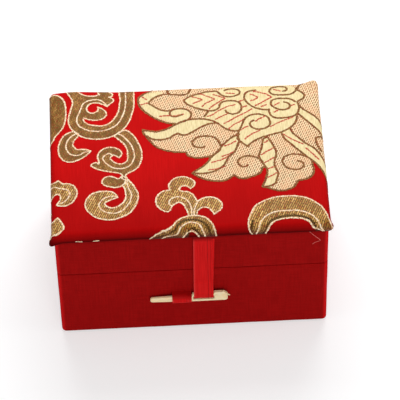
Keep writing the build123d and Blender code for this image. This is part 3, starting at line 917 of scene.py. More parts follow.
ARCH_SHADES = [
    [(-15.5, -42.5), (-12, -40.3), (-9, -39.4), (-6.7, -38.4), (-5.3, -36.7), (-3, -35), (0, -34.5),
     (3, -35), (5.6, -36.7), (7.2, -39), (7.8, -43)],
    [(28.6, -43), (29.8, -39.4), (32, -37), (35, -35.3), (39, -34.5), (43.6, -34.7), (47.2, -36),
     (49.6, -38.3), (51, -42)],
    [(24.2, -43.5), (24.3, -39), (24.9, -36)],
    [(-2.5, -44.5), (-1.8, -40.9), (0, -38.1), (2, -38.9), (3.6, -41), (4.3, -45)],
]
CLOUDS = [
    LEFT_LOBE, BIG_SCROLL, COMMA, CURL, SMALL_LOBE,
    HOOK, EDGE_CURL, EDGE_LEAF, SPRIG, LEFT_ARCH, RIGHT_ARCH,
]
CLOUD_LINES = [
    BIG_SCROLL_LINE, COMMA_LINE, CURL_LINE, HOOK_LINE, EDGE_CURL_LINE,
    *SPRIG_LINES, *LEFT_ARCH_LINES, *RIGHT_ARCH_LINES,
]
FLECKS = [
    [(-46.9, -41.3), (-45.6, -41.6), (-44.2, -41.8)],
    [(-39.9, -41.7), (-38.6, -41.6), (-37.3, -41.4)],
    [(-57.5, -25.5), (-57, -26.7), (-57.6, -27.8)],
]

FLOWER = [
    (-12.6, 42, 1), (-13.7, 37.6), (-16.2, 36.2), (-18.1, 34.7), (-19.2, 32.8), (-19.2, 29.9),
    (-18.3, 27.6), (-16.7, 25.3), (-14.6, 23), (-12.1, 20.8), (-9.2, 19.1), (-6.2, 17.9), (-4, 17.6, 1),
    (-5.4, 16.4), (-7.5, 15.1), (-9.6, 14.3), (-12.1, 13.7), (-15, 14.2), (-17.9, 15, 1), (-17.5, 12.8),
    (-16.2, 10.5), (-14.6, 8), (-13.1, 5.7), (-10.8, 3.9), (-7.9, 2.6), (-4.6, 1.8), (-0.4, 1.4, 1),
    (0, -0.1), (1.7, -1.3), (5, -2), (7.5, -1.7), (9.6, -1.3, 1), (9.2, -3), (7.5, -5.3), (5.4, -7.4),
    (3.3, -8.9), (1.6, -10.2, 1), (3.3, -11.7), (5.8, -13.4), (8.7, -14.5), (11.7, -15.1), (14.6, -14.9),
    (16.7, -13.8), (18.7, -11.9, 1), (20.2, -13.6), (22.5, -14.2), (25.4, -13.4), (27.9, -12.4),
    (29.6, -11.1), (30.3, -8.8, 1), (31.7, -8.4), (32.4, -10.1), (32, -13), (31.1, -15.9),
    (29.9, -18.9, 1), (32.2, -19.6), (34.7, -20.7), (37.2, -21.4), (40.1, -20.9), (42.6, -19.5),
    (44, -17.4), (44.8, -16.1, 1), (47.2, -15.7), (49.2, -14.9), (50.9, -12.8), (51.5, -10.1),
    (51.1, -7.6), (51, -5.5, 1), (52.2, -6.3), (53.8, -8.6), (55.1, -10.9), (56.4, -14), (58.5, -18),
    (61, -22, 1), (62.5, 10), (62.5, 40, 1), (58, 43, 1), (20, 43),
]
PALE_PARTS = [
    # rim of the upper left petal, with the curl at its end
    [(-18.6, 30.2), (-18, 33.6), (-14.4, 36.2), (-9, 36.6, 1), (-9.6, 34.6), (-12.1, 33.5), (-14, 31.6),
     (-14.8, 30.1), (-13.3, 28.5), (-11, 26.4), (-8.7, 25.3), (-5.9, 25.2), (-3.5, 26), (-1.2, 26),
     (0.8, 25.3), (2.3, 23.7), (2.6, 22), (2.1, 20.5), (0.4, 19.1), (-2, 18.3), (-5.9, 18.6),
     (-9, 19.9), (-12, 21.7), (-15.6, 24.9), (-17.8, 28)],
    # upper band of the second petal
    [(-17.2, 13.9, 1), (-15, 13.5), (-12.1, 13), (-9.3, 13.7), (-7, 14.6), (-4.8, 16), (-2, 17.6),
     (1.7, 19), (4.6, 19.1), (7.5, 19), (10.2, 18.2), (12.5, 17, 1), (10, 16.7), (7.5, 15.7), (4.6, 13.9),
     (2.1, 12.2), (-0.4, 11), (-2.1, 11.2), (-3.3, 12.2, 1), (-4.8, 11.4), (-6.2, 10.3), (-8.7, 9.3),
     (-11.7, 9.1), (-14.6, 9.9), (-16.3, 11.8)],
    # light band of the third petal
    [(2.2, -10.1, 1), (5.7, -7.6), (7.9, -5.6), (9.7, -2.9), (11.2, -0.5), (13.3, 2), (14.9, 4.4),
     (17, 6.7), (21, 9.2, 1), (21.6, 7), (21, 4.5), (20.2, 2), (18.7, -0.5), (17.5, -1.3), (15.8, -4.7),
     (14.6, -6.7), (12.5, -8.6), (10, -9.9), (7.1, -10.4), (4.2, -10.4)],
    # leaf between the third and fourth petals
    [(33.4, 8.2, 1), (31.9, 6.6), (31.1, 3.7), (30.5, 1.2), (29.8, -1.3), (29.8, -3), (31.2, -5.9),
     (32.4, -9.2), (32.6, -12), (31.6, -16.2), (30.6, -18.5, 1), (33, -18.6), (34.9, -17.4),
     (36.1, -14.7), (36.7, -11.7), (35.9, -9.2), (35.5, -6.7), (35.9, -4.2), (36.5, -1.3),
     (36.2, 1.2), (35.1, 4.5)],
    # two long light leaves at the right
    [(47.8, 25.2, 1), (49, 23.7), (50.9, 22), (53, 20.3), (55.1, 18), (57.5, 15.2), (59, 11), (57.5, 8),
     (55.1, 11.2), (53, 13.7), (50.9, 16.2), (48.8, 18.7), (47.1, 20.8, 1)],
    [(39.7, 10.4, 1), (42.8, 12, 1), (44, 10.3), (45.9, 7.8), (48, 5.3), (50.1, 3.2), (52.2, 1.6),
     (53.8, -0.5), (55.2, -3.2), (57, -6.5), (59, -12, 1), (56.2, -12.6), (55, -10), (53.6, -7.6),
     (51.6, -5.4, 1), (48.8, -2.8), (46.7, -0.5), (44.2, 2.4), (42.6, 4.5), (40.5, 7)],
]
DASHED_PARTS = [
    # the middle of the flower
    [(0.4, 30.5), (1.5, 32), (4, 33.6), (8.7, 35.3), (14, 35.6), (18, 37.5), (24, 37, 1), (27, 37.8),
     (35, 37.4), (43, 37.8), (47.4, 35.3), (48, 33.9), (49.7, 32.6), (50.2, 31), (49.5, 29.4),
     (47.6, 27.4), (47.7, 25.3), (47.3, 22.4), (46.5, 19.5), (46, 17), (44.7, 14.6), (42.6, 12.5),
     (39.7, 10.9), (36.3, 9.8), (33, 8.8), (29.7, 7.3), (26.7, 5.2), (25, 3.4, 1), (22.4, 6),
     (21.4, 8), (21.8, 10.3), (22.2, 12, 1), (20, 12.1), (17.9, 12.8), (15.8, 14.3), (14.2, 16),
     (12.5, 17.8), (10.4, 18.9), (8.2, 20.2), (8.8, 22), (9.8, 23.8, 1), (7.9, 24.8), (5.4, 25.8),
     (2.9, 27.2), (0.9, 28.9)],
]
FLOWER_LINES = [
    [(-6.2, 35.1), (-8.7, 34.9), (-12.1, 33.5), (-14, 31.6), (-14.8, 30.1), (-13.3, 28.5), (-11, 26.4),
     (-8.7, 25.3), (-6.2, 25.1), (-3.5, 26), (-1.2, 26), (0.8, 25.3), (2.3, 23.7), (2.6, 22),
     (2.1, 20.5), (0.4, 19.1), (-3, 18)],
    [(-3.7, 26), (-5.4, 25.3), (-6.3, 24.1), (-6, 22.4), (-4.6, 21.6), (-2.7, 22), (-1.2, 22.7)],
    [(-7, 38), (-6.2, 35.2), (-3.3, 34.4), (-0.4, 34.2), (1.7, 34.9), (2.5, 36.4), (3, 39)],
    [(8.7, 35.3), (6.7, 34.5), (3.7, 33.5), (1.2, 32), (0, 30.5), (0.8, 28.9), (2.9, 27.2), (5.4, 25.7),
     (7.9, 24.7), (10.4, 24), (12.5, 24.3), (14.2, 25.5), (14.8, 27.4), (15.6, 28.6), (17.1, 29.2),
     (19.6, 29.4), (22.1, 28.7), (23.5, 27), (23.7, 25.1), (22.9, 23), (20.8, 21.8), (18.7, 22),
     (17.3, 23), (16.9, 24.2)],
    [(8.7, 35.3), (11.7, 35.5), (14, 35.3), (14.8, 34.1), (16.2, 32.6), (18.3, 31.8), (20.8, 32),
     (22.9, 33), (23.5, 34.3), (22.9, 35.7), (20.8, 36.5), (18.3, 36.4), (16.9, 35.5)],
    [(9.8, 23.7), (8.7, 22), (7.8, 20.7)],
    [(-4, 17.2), (-1.2, 18.7), (1.7, 19.5), (4.6, 19.7), (7.5, 19.5), (10.4, 18.7), (12.5, 17.6),
     (14.2, 16), (15.8, 14.3), (17.9, 12.8), (20, 12.1), (21.7, 12.2)],
    [(21.3, 9), (21.8, 11.6), (22.9, 14.1), (23.7, 16.2), (24.4, 18.2), (25.8, 19.9), (27.9, 20.9),
     (30.1, 21.2), (32.6, 20.5), (34.2, 19.3), (35.1, 17), (34.7, 14.5), (32.6, 13), (30.5, 12.6),
     (28.4, 13.2), (27, 14.7), (27, 16.6), (28.6, 17.8)],
    [(-16.3, 11.6), (-14.6, 9.9), (-11.7, 9.1), (-8.7, 9.3), (-6.2, 10.3), (-4.8, 11.4), (-3.3, 12.2, 1),
     (-2.1, 11.3), (-0.4, 11), (2.1, 12.2), (4.6, 13.9), (7.5, 15.7), (10, 16.7), (12.4, 17)],
    [(9.3, -1.8), (12.5, 0.7), (14, 3.2), (13.7, 5.3), (12.9, 7.4), (11.2, 9.1), (9.2, 9.8),
     (6.7, 9.9), (4.6, 9.3), (2.9, 7.8), (2.3, 6.2), (3.1, 4.5), (5, 3.7), (6.9, 3.7), (7.5, 4.4)],
    [(21.3, 9.9), (18.7, 8.5), (16.7, 6.6), (14.6, 4.1), (12.9, 1.5), (10.8, -0.9), (9.4, -2.6)],
    [(21.3, 9.6), (21.7, 7), (21, 4.5), (20.2, 2), (18.7, -0.5), (17.5, -1.3), (15.8, -4.7),
     (14.6, -6.7), (12.5, -8.6), (10, -9.9), (7.1, -10.5), (4.2, -10.5), (2, -10.2)],
    [(22, 10.6), (21.2, 8), (22.6, 5.8), (25, 3.3, 1), (26.7, 5.1), (29.7, 7.2), (33, 8.7), (36.3, 9.7),
     (39.7, 10.7), (42.6, 12.4), (44.7, 14.5), (46.1, 17), (46.7, 19.5)],
    [(46.7, 27.4), (44.2, 29.3), (41.3, 29.7), (38.4, 29.5), (36.7, 28.7), (36.1, 26.8), (37.2, 24.9),
     (39.2, 23.5), (41.7, 23.2), (43.6, 24.2), (44, 25.7), (43, 27), (41.3, 27.6)],
    [(41.3, 33.9), (43.2, 34.7), (43.2, 36), (41.3, 36.9), (38.8, 36.8), (36.7, 36), (36, 34.3),
     (36.7, 32.8), (38.8, 32), (42.2, 31.8), (45.1, 32.3), (46.8, 33.7), (47.4, 35.3), (48.7, 37.2),
     (51, 39.5)],
    [(47.5, 34.6), (49.7, 32.6), (50.4, 31), (49.7, 29.3), (48, 28.2), (47.4, 27.4), (47.8, 25.3),
     (47.4, 22.4), (46.3, 20.3), (44.2, 19.1), (41.3, 18.6), (38.4, 18.5), (36.3, 19.5),
     (35.3, 21.6), (35.1, 24)],
    [(30.5, 35.3), (26.7, 34.3), (25.3, 32), (25.5, 29.5), (26.7, 27.4), (28.8, 25.3), (31.3, 24.1),
     (33.8, 23.5), (35.2, 23.3)],
    [(47.8, 25.3), (49, 23.7), (50.9, 22), (53, 20.3), (55.1, 18), (58, 14)],
    [(47.2, 20.7), (48.8, 18.7), (50.9, 16.2), (53, 13.7), (55.1, 11.2), (58, 7)],
    [(43.2, 12.8), (44, 10.3), (45.9, 7.8), (48, 5.3), (50.1, 3.2), (52.2, 1.6), (53.8, -0.5),
     (55.2, -3.2), (57.5, -7.5)],
    [(39.5, 10.4), (40.5, 7), (42.6, 4.5), (44.2, 2.4), (46.7, -0.5), (48.8, -3), (51.2, -5.4)],
    [(57.5, 8.6), (55.1, 7.8), (53.8, 7), (53.6, 4.9), (54.2, 2.4), (55.6, -0.5)],
    [(33.5, 8.3), (31.7, 6.6), (31.1, 3.7), (30.5, 1.2), (29.6, -1.3), (29.6, -3), (30.7, -5.9),
     (31.9, -8.6)],
    [(33.5, 8.3), (35.1, 4.5), (36.3, 1.2), (36.6, -1.3), (35.9, -4.2), (35.5, -6.7), (35.9, -9.2),
     (36.7, -11.7), (36.1, -14.7), (34.9, -17.6), (32.6, -18.8), (30.6, -18.9)],
    [(31, -5.6), (29.6, -3.9), (28.3, -3), (26.2, -2.1), (24.2, -2), (22.1, -2.8), (20.6, -4.5),
     (21, -6.3), (22.5, -7.8), (24.2, -7.4), (24.6, -6.5)],
    [(51.2, -5.2), (48, -2.8), (45.5, -2), (43, -1.8), (40.5, -2.8), (39, -4.7), (39.2, -7.2),
     (40.5, -9), (43, -10.2), (45.5, -10.1), (47.2, -8.8), (47.4, -7), (46.3, -5.9), (44.9, -5.5)],
]
# Red lines of dashes on the flower's pale parts, in pixels of the photograph's 400 by 400
# frame. Their points were picked there, and on_cover() lays them on the cover.
RED_LINE_PLACES = [
    # the petal at the middle of the back, in three nested points
    [(191.6, 96.8), (197.2, 98), (202.4, 100), (197.6, 101.8), (192.4, 103.8)],
    [(200, 93.8), (205.6, 95.8), (210.4, 97.4), (215.2, 99.2), (210.8, 101), (206.4, 103.2),
     (201.6, 107)],
    [(212.4, 94.4), (218, 96), (225.2, 98.4), (220, 101.4), (213.6, 105.2), (208.6, 109.6)],
    # long slanting lines across the middle of the flower
    [(206.8, 116.8), (211.6, 115.4), (217.2, 111.6), (221.6, 109.2), (230, 105.8), (235.6, 104.8)],
    [(215.2, 119.6), (218.4, 118), (222.4, 116), (229.2, 112.8)],
    [(223.2, 124), (228, 121.8), (237, 116.6), (243.5, 113.5), (252.5, 108.5)],
    [(228.4, 128.8), (235.2, 124), (240, 121.6), (244.5, 118.5)],
    [(241.5, 107.5), (247.5, 105.5)], [(239, 101.5), (244, 100)],
    # the petal to its right
    [(249.5, 94.5), (252.5, 94.8), (258, 97.5), (255, 99.5), (250, 101.3)],
    [(253, 91.3), (260, 92.8), (267, 94.5), (271.5, 97), (266, 100), (260, 103.5), (254.5, 105.8)],
    [(261, 107), (267.5, 104.5)], [(273, 89.5), (280.5, 91.3)],
    # the curls at the right
    [(274, 105.5), (280, 102.5)], [(290.5, 105.5), (295, 104.5)], [(273.5, 112.5), (278.5, 110.5)],
    [(255, 121.5), (260, 118.5), (265.5, 116)],
    [(270, 127.3), (275.5, 123.8), (281, 121.5), (287.5, 119.3), (293.5, 117)],
    [(244.5, 139.5), (248.5, 136), (253, 133.3), (260.5, 130)],
    [(240.5, 130.5), (244, 128), (248.5, 126)],
    # the long leaf at the right
    [(282.7, 134), (292.7, 139.5), (303.8, 144.5)],
    # the top of the leaf between the lower petals
    [(263.8, 143), (268, 140.7)],
    # the upper left petal
    [(142, 97), (147, 100.5)], [(140.5, 105), (148, 103)],
    [(159, 116.5), (166, 116), (176, 116), (184, 114)],
]
# the rest of the red lines, given in mm on the cover
RED_LINES = [
    # at the back, between two petals
    [(17.5, 34.2), (21.5, 33.4)],
    # the end of the long leaf at the right
    [(48.9, 1.4), (51.4, -1.6), (54.2, -5)],
    # the leaf between the lower petals
    [(30.2, -1.7), (36.2, 2.2)], [(31.4, -6.2), (35.6, -3.4)], [(32.5, -9.6), (36.4, -7.9)],
    [(32.2, -14.2), (36.7, -11.5)],
    # the third petal
    [(14, -1.9), (17.2, -0.6), (20, 1.2)], [(9.6, -4.9), (14, -3.6), (18.2, -0.9)],
    [(8.2, -8.9), (12, -8.4), (15.4, -7.2)], [(15.4, 3.8), (18.2, 5), (20.6, 6.6)],
]


def on_cover(across, down):
    """Where a pixel place of the photograph lies on the padded cover, in mm to one decimal."""
    place, ahead, right, up, focal = photo_view()
    ray = ahead + right * (across - FRAME / 2) / focal - up * (down - FRAME / 2) / focal
    x, y = 0, 0
    # each turn starts from the cover's height at the place that the last turn found
    for _ in range(6):
        run = (crown_height(x, y) - PULL_DEPTH - place.z / MM) / ray.z
        x, y = round(place.x / MM + ray.x * run, 2), round(place.y / MM + ray.y * run, 2)
    return round(x, 1), round(y, 1)


# the red dashes follow each other this far apart and are this thick, in mm
DASH_STEP, DASH_THICK = 1.3, 0.68


def dash_lines():
    """Each red line as the short dashes that come up through the pale weft."""
    dashes = []
    picked = [[on_cover(*place) for place in line] for line in RED_LINE_PLACES]
    for line in picked + RED_LINES:
        for (x0, y0), (x1, y1) in zip(line, line[1:]):
            count = max(1, round(math.hypot(x1 - x0, y1 - y0) / DASH_STEP))
            for i in range(count):
                start, end = (i + 0.02) / count, (i + 0.9) / count
                sway = 0.18 * noise.noise(Vector((x0 + i * 1.7, y0, 2.2)))
                dashes.append((
                    [(x0 + (x1 - x0) * start, y0 + (y1 - y0) * start + sway),
                     (x0 + (x1 - x0) * end, y0 + (y1 - y0) * end + sway)],
                    False, DASH_THICK,
                ))
    return dashes


def brocade_cover():
    """The brocade: its ground stretched over the wadding, and the woven figures on it."""
    ground = cloth_from_grid(cover_lines(CORE_X), cover_lines(CORE_Y), cover_point)
    thicken(ground, 0.3)
    ground = dress(ground, "brocade_ground", rayon_satin_ground(), "lid", 60)
    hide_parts("cover_brocade")
    cream = turned_thread("cream_wrapped_thread", ("#F0BE8E", "#FFEFD0"), "#B0502E", 0.5, 0.6)
    brown = turned_thread("brown_wrapped_thread", ("#623C1A", "#A07240"), "#8E2616", 0.6, 0.55)
    dashes = turned_thread("red_tied_thread", ("#B8382A", "#D0604A"), "#8A2A1C", 0.6, 0.62)
    figures = [
        woven_patches("back_clouds", gold_brown_weft(), CLOUDS[:5], lift=0.06),
        woven_patches("front_clouds", slanted_gold_weft(), CLOUDS[5:], lift=0.06),
        woven_lines(
            "cloud_shades", shaded_brown_weft(),
            [(line, False, 1.2) for line in ARCH_SHADES], lift=0.05, flatten=0.12,
        ),
        woven_lines(
            "cloud_outlines", cream,
            [(line, True, 0.62) for line in CLOUDS] + [(line, False, 0.6) for line in CLOUD_LINES]
            + [(line, False, 0.7) for line in FLECKS], lift=0.08,
        ),
        woven_patches("flower_ground", peach_stitched_weft(), [FLOWER], lift=0.06),
        woven_patches("flower_pale_parts", pale_gold_weft(), PALE_PARTS + DASHED_PARTS, lift=0.09),
        woven_lines("flower_red_dashes", dashes, dash_lines(), lift=0.1),
        woven_lines(
            "flower_outlines", brown,
            [(FLOWER, True, 0.86)] + [(line, False, 0.92) for line in FLOWER_LINES], lift=0.1,
        ),
    ]


def cushion(name, node, material, body, corner, roll, crown, up, inset=0.0):
    """A padded piece in its solid's place: crowned, its sides rolled, and soft at its edges."""
    low, high = (corner_point / MM for corner_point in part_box(node))
    half_x, half_y = high.x - inset, high.y - inset
    height = high.z - low.z - inset
    base = low.z if up > 0 else high.z
    core_x, core_y = half_x - corner, half_y - corner
    round_off = (half_x ** 2 + half_y ** 2) / (2 * crown)
    roll_start, roll_end = corner - roll, corner - roll + roll * math.pi / 2

    def padded_point(u, v):
        du, dv = max(0.0, abs(u) - core_x), max(0.0, abs(v) - core_y)
        out, turn = max(du, dv), math.atan2(dv, du)
        way_x = math.copysign(math.cos(turn), u) if out else 0.0
        way_y = math.copysign(math.sin(turn), v) if out else 0.0
        tilt = min(max((out - roll_start) / roll, 0.0), math.pi / 2)
        reach = min(out, roll_start) + roll * math.sin(tilt)
        x = math.copysign(min(abs(u), core_x), u) + way_x * reach
        y = math.copysign(min(abs(v), core_y), v) + way_y * reach
        edge = max(0.0, min(half_x - abs(x), half_y - abs(y)))
        puckers = 0.25 * math.exp(-edge / 5) * noise.noise(Vector((x / 3.2, y / 3.2, 1.7)))
        rise = height - (x ** 2 + y ** 2) / (2 * round_off) - 0.5 * math.exp(-edge / 4)
        rise += puckers + 0.12 * noise.noise(Vector((x / 15, y / 12, 6.3))) - 0.12
        rise -= roll * (1 - math.cos(tilt))
        if out > roll_end:
            rise = 0.0
        return x, y, base + up * max(rise, 0.0)

    def bottom_point(u, v):
        x, y, _ = padded_point(u, v)
        return x, y, base

    def lines(core):
        edge = [core + s for s in even_steps(0, roll_start, 1.0)[1:] if roll_start > 0.05]
        edge += [core + s for s in even_steps(roll_start, roll_end, 0.6)[1:]] + [core + roll_end + 1]
        return [-s for s in reversed(edge)] + even_steps(-core, core, 1.6) + edge

    top = cloth_from_grid(lines(core_x), lines(core_y), padded_point)
    under = cloth_from_grid(lines(core_x), lines(core_y), bottom_point)
    piece = join([top, under])
    merge_edges(piece, 0.002)
    dress(piece, name, material, body, 60)
    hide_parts(node)


# Cloth round the boards

def rim_lines(width, depth, radius, step):
    """Places round a rounded rectangle: (side's own run, corner angle, length so far in mm)."""
    places, length = [], 0.0
    half_x, half_y = width / 2 - radius, depth / 2 - radius
    sides = (
        ((0, half_y), (-half_x, half_y), 90), ((-half_x, half_y), (-half_x, -half_y), 180),
        ((-half_x, -half_y), (half_x, -half_y), 270), ((half_x, -half_y), (half_x, half_y), 360),
        ((half_x, half_y), (0, half_y), 450),
    )
    for number, (start, end, angle) in enumerate(sides):
        run = math.dist(start, end)
        for share in even_steps(0, 1, step / run)[(1 if number else 0):]:
            spot = (start[0] + (end[0] - start[0]) * share, start[1] + (end[1] - start[1]) * share)
            places.append((spot, angle, length + run * share))
        length += run
        if number < 4:
            for share in even_steps(0, 1, 1 / 5)[1:]:
                places.append((end, angle + 90 * share, length + radius * math.pi / 2 * share))
            length += radius * math.pi / 2
    return places, length


def ring_of_cloth(width, depth, radius, section, step=2.0, waver=0.0):
    """Cloth glued round a rim. Section is its run as (inward, height) in mm, from below upwards."""
    places, around = rim_lines(width, depth, radius, step)
    runs = [0.0]
    for (a, low), (b, high) in zip(section, section[1:]):
        runs.append(runs[-1] + math.hypot(b - a, high - low))
    spots = {round(length, 4): (spot, angle) for spot, angle, length in places}
    levels = {round(run, 4): point for run, point in zip(runs, section)}

    def place(u, v):
        (x, y), angle = spots[round(u, 4)]
        inward, z = levels[round(v, 4)]
        way = Vector((math.cos(math.radians(angle)), math.sin(math.radians(angle))))
        if waver and inward < 1:
            inward -= waver * noise.noise(Vector((x / 9 + way.x * 3, y / 9 + way.y * 3, z / 12)))
        reach = radius - inward
        if reach < 0:
            corner_x, corner_y = width / 2 - radius, depth / 2 - radius
            x = math.copysign(min(abs(x), corner_x + reach), x)
            y = math.copysign(min(abs(y), corner_y + reach), y)
            if abs(way.x) > 0.999 or abs(way.y) > 0.999:
                x, y = (
                    (math.copysign(corner_x + reach, way.x), y) if abs(way.x) > 0.999
                    else (x, math.copysign(corner_y + reach, way.y))
                )
            return x, y, z
        return x + way.x * reach, y + way.y * reach, z

    piece = cloth_from_grid(
        sorted(round(length, 4) for _, _, length in places), [round(run, 4) for run in runs], place
    )
    merge_edges(piece, 0.002)
    return piece, (around * MM, runs[-1] * MM)


def fold(inward, height, radius, lower):
    """Five points round the fold of a rim at (inward, height), below or above, in mm."""
    points = []
    for share in (0, 0.25, 0.5, 0.75, 1):
        angle = math.pi / 2 * share
        flat_share, steep_share = 1 - math.cos(angle), 1 - math.sin(angle)
        if lower:
            points.append((inward + radius * steep_share, height + radius * flat_share))
        else:
            points.append((inward + radius * flat_share, height - radius * steep_share))
    return points


# the red cloth lies this far inside its solid's lower and upper faces, in mm
CLOTH_INSET = 0.02
# the satin's foot lies this far inside its solid's end face, in mm
SATIN_FOOT = 0.27


def outer_cloth(name, node, low_leg, high_leg, foot, head, material, body):
    """Red cloth round the base or the lid, turned in below and above."""
    low, high = (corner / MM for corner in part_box(node))
    bottom, top = low.z + CLOTH_INSET, high.z - CLOTH_INSET
    section = [(low_leg, bottom)] + fold(0, bottom, foot, True)
    section += [(0, z) for z in even_steps(low.z + foot, high.z - head, 2.0)[1:-1]]
    section += fold(0, top, head, False) + [(high_leg, top)]
    piece, flat = ring_of_cloth(2 * high.x, 2 * high.y, 2.0, section, step=1.5, waver=0.07)
    thicken(piece, 0.32)
    dress(piece, name, material, body, 60)
    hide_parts(node)


def linings(satin):
    """Satin over the collar boards of the base, and on the inside of the lid's walls."""
    low, high = (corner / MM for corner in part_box("base_lining"))
    wall = 2.1
    section = [(0, z) for z in even_steps(low.z, high.z - 0.6, 4)] + fold(0, high.z, 0.6, False)[1:]
    section += [(wall - inward, z) for inward, z in reversed(fold(0, high.z, 0.6, False))]
    foot = low.z + SATIN_FOOT
    section += [(wall, z) for z in even_steps(high.z - 0.6, foot, 4)[1:]] + [(wall + 0.3, foot)]
    piece, flat = ring_of_cloth(2 * high.x, 2 * high.y, 0.6, section, 3.0)
    thicken(piece, 0.25)
    dress(piece, "collar_satin", satin, "base")
    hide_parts("base_lining")

    low, high = (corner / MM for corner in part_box("lid_lining"))
    foot = high.z - SATIN_FOOT
    section = [(0.6, foot)] + [(0.3, z) for z in even_steps(foot, low.z, 3)]
    piece, flat = ring_of_cloth(2 * high.x, 2 * high.y, 0.6, section, 3.0)
    thicken(piece, 0.25, 1.0)
    dress(piece, "lid_satin", satin, "lid")
    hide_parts("lid_lining")


def hinge_cloth(material):
    """One cloth strip glued flat across the back as the hinge, with close rows across the seam."""
    lower_low, lower_high = (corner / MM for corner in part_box("hinge_strip_lower"))
    upper_low, upper_high = (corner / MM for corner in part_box("hinge_strip_upper"))
    seam = (lower_high.z + upper_low.z) / 2
    across = even_steps(lower_low.x, lower_high.x, 2.0)
    heights = (
        even_steps(lower_low.z, seam - 2, 2.0)
        + even_steps(seam - 2, seam + 2, 0.4)[1:] + even_steps(seam + 2, upper_high.z, 2.0)[1:]
    )

    def place(u, v):
        out = lower_high.y - 0.02 + 0.04 * noise.noise(Vector((u / 12, v / 12, 4.4)))
        return -u, out, v

    piece = cloth_from_grid([-u for u in reversed(across)], heights, place)
    thicken(piece, 0.35)
    dress(piece, "hinge_cloth", material, None)
    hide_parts("hinge_strip_lower", "hinge_strip_upper")
    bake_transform(piece)


# Strap, toggle and loop

def path_length(points):
    return sum(math.dist(a, b) for a, b in zip(points, points[1:]))


def along_path(points, step):
    """Even places along a path of (y, z) points in mm: (length so far, y, z)."""
    runs = [math.dist(a, b) for a, b in zip(points, points[1:])]
    places = []
    for length in even_steps(0, path_length(points), step):
        rest, number = length, 0
        while number < len(runs) - 1 and rest > runs[number]:
            rest -= runs[number]
            number += 1
        (y0, z0), (y1, z1) = points[number], points[number + 1]
        share = min(rest / runs[number], 1)
        places.append((length, y0 + (y1 - y0) * share, z0 + (z1 - z0) * share))
    return places


def rounded_path(corners):
    """A path of (y, z, radius) corners in mm, with each corner turned on its radius."""
    path = [corners[0][:2]]
    for before, corner, after in zip(corners, corners[1:], corners[2:]):
        middle = Vector(corner[:2])
        way_in = (middle - Vector(before[:2])).normalized()
        way_out = (Vector(after[:2]) - middle).normalized()
        half = way_in.angle(way_out) / 2
        back = corner[2] * math.tan(half)
        start, end = middle - way_in * back, middle + way_out * back
        for share in even_steps(0, 1, 1 / 6):
            path.append(tuple(
                start * (1 - share) ** 2 + middle * 2 * share * (1 - share) + end * share ** 2
            ))
    path.append(corners[-1][:2])
    return path


def ribbon_strip(path, step, left_at, width_at, swell):
    """A ribbon that follows a path of (y, z) in mm, from left_at(z) over width_at(length, total)."""
    places = along_path(path, step)
    total = places[-1][0]
    by_length = {round(length, 4): (number, y, z) for number, (length, y, z) in enumerate(places)}
    shares = [0, 0.04, 0.09, 0.2, 0.35, 0.5, 0.65, 0.72, 0.75, 0.78, 0.84, 0.89, 0.93, 0.97, 1]

    def place(u, v):
        number, y, z = by_length[round(v, 4)]
        before, after = places[max(number - 1, 0)], places[min(number + 1, len(places) - 1)]
        way = Vector((after[1] - before[1], after[2] - before[2])).normalized()
        width = width_at(v, total)
        out = swell(u / 10, v, total)
        return left_at(z) + width * u / 10, y + way.y * out, z - way.x * out

    return cloth_from_grid([10 * s for s in shares], [round(p[0], 4) for p in places], place)


# the ribbon's thickness, how deep its middle lies in its solid, and its width, in mm
RIBBON_THICK, RIBBON_DEPTH, RIBBON_WIDTH = 0.34, 0.2, 8.1
# the strap's back layer is this much wider at the top, in mm
BACK_SPREAD = 0.6
# the strap leans this far to the right from its lower fold to its root, in mm
STRAP_LEAN = 0.4
# the strap's root reaches this far below the strap's turning line, in mm
ROOT_RUN = 1.2
# the ribbon's front layer is this much narrower at the top than at the lower fold, in mm
STRAP_STEP = 0.4


def strap_ribbon():
    """The strap: one satin ribbon down the front, through the toggle's slot and up over itself."""
    strap_low, strap_high = (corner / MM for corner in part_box("strap"))
    bight_low, bight_high = (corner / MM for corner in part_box("strap_bight"))
    back, front = strap_high.y - RIBBON_DEPTH, strap_low.y + RIBBON_DEPTH
    outer, turn = bight_low.y + RIBBON_DEPTH, bight_low.z + RIBBON_DEPTH
    top = strap_high.z - ROOT_RUN
    corners = [
        (back, top), (back, turn, 0.6), (outer, turn, 0.6),
        (outer, bight_low.z + 3.3, 2.2), (front, bight_high.z + 0.05, 3.0), (front, top),
    ]

    def width_at(length, total):
        # wide behind, narrower in front, and alike at the lower fold
        share = length / total
        behind, ahead = max(0.0, 1 - share / 0.45), max(0.0, (share - 0.62) / 0.38)
        return RIBBON_WIDTH + BACK_SPREAD * behind - STRAP_STEP * ahead

    def swell(share, length, total):
        edge = max(math.exp(-share / 0.06), math.exp(-(1 - share) / 0.06))
        crease = 0.16 * math.exp(-((share - 0.75) / 0.02) ** 2)
        return -0.07 * edge - crease - 0.05 * noise.noise(Vector((share * 2, length / 7, 1.1)))

    def left_at(z):
        return strap_low.x + STRAP_LEAN * (z - bight_low.z) / (strap_high.z - bight_low.z)

    path = rounded_path(corners)
    piece = ribbon_strip(path, 0.6, left_at, width_at, swell)
    thicken(piece, RIBBON_THICK, 0)
    total = path_length(path)
    # its top is darkened with painted shadow where it goes under the cover's edge
    material = satin_ribbon("red_satin_ribbon", "#820A0B", total - 1.1, total + 1.3)
    dress(piece, "strap_ribbon", material, None)
    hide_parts("strap", "strap_bight")
    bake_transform(piece)


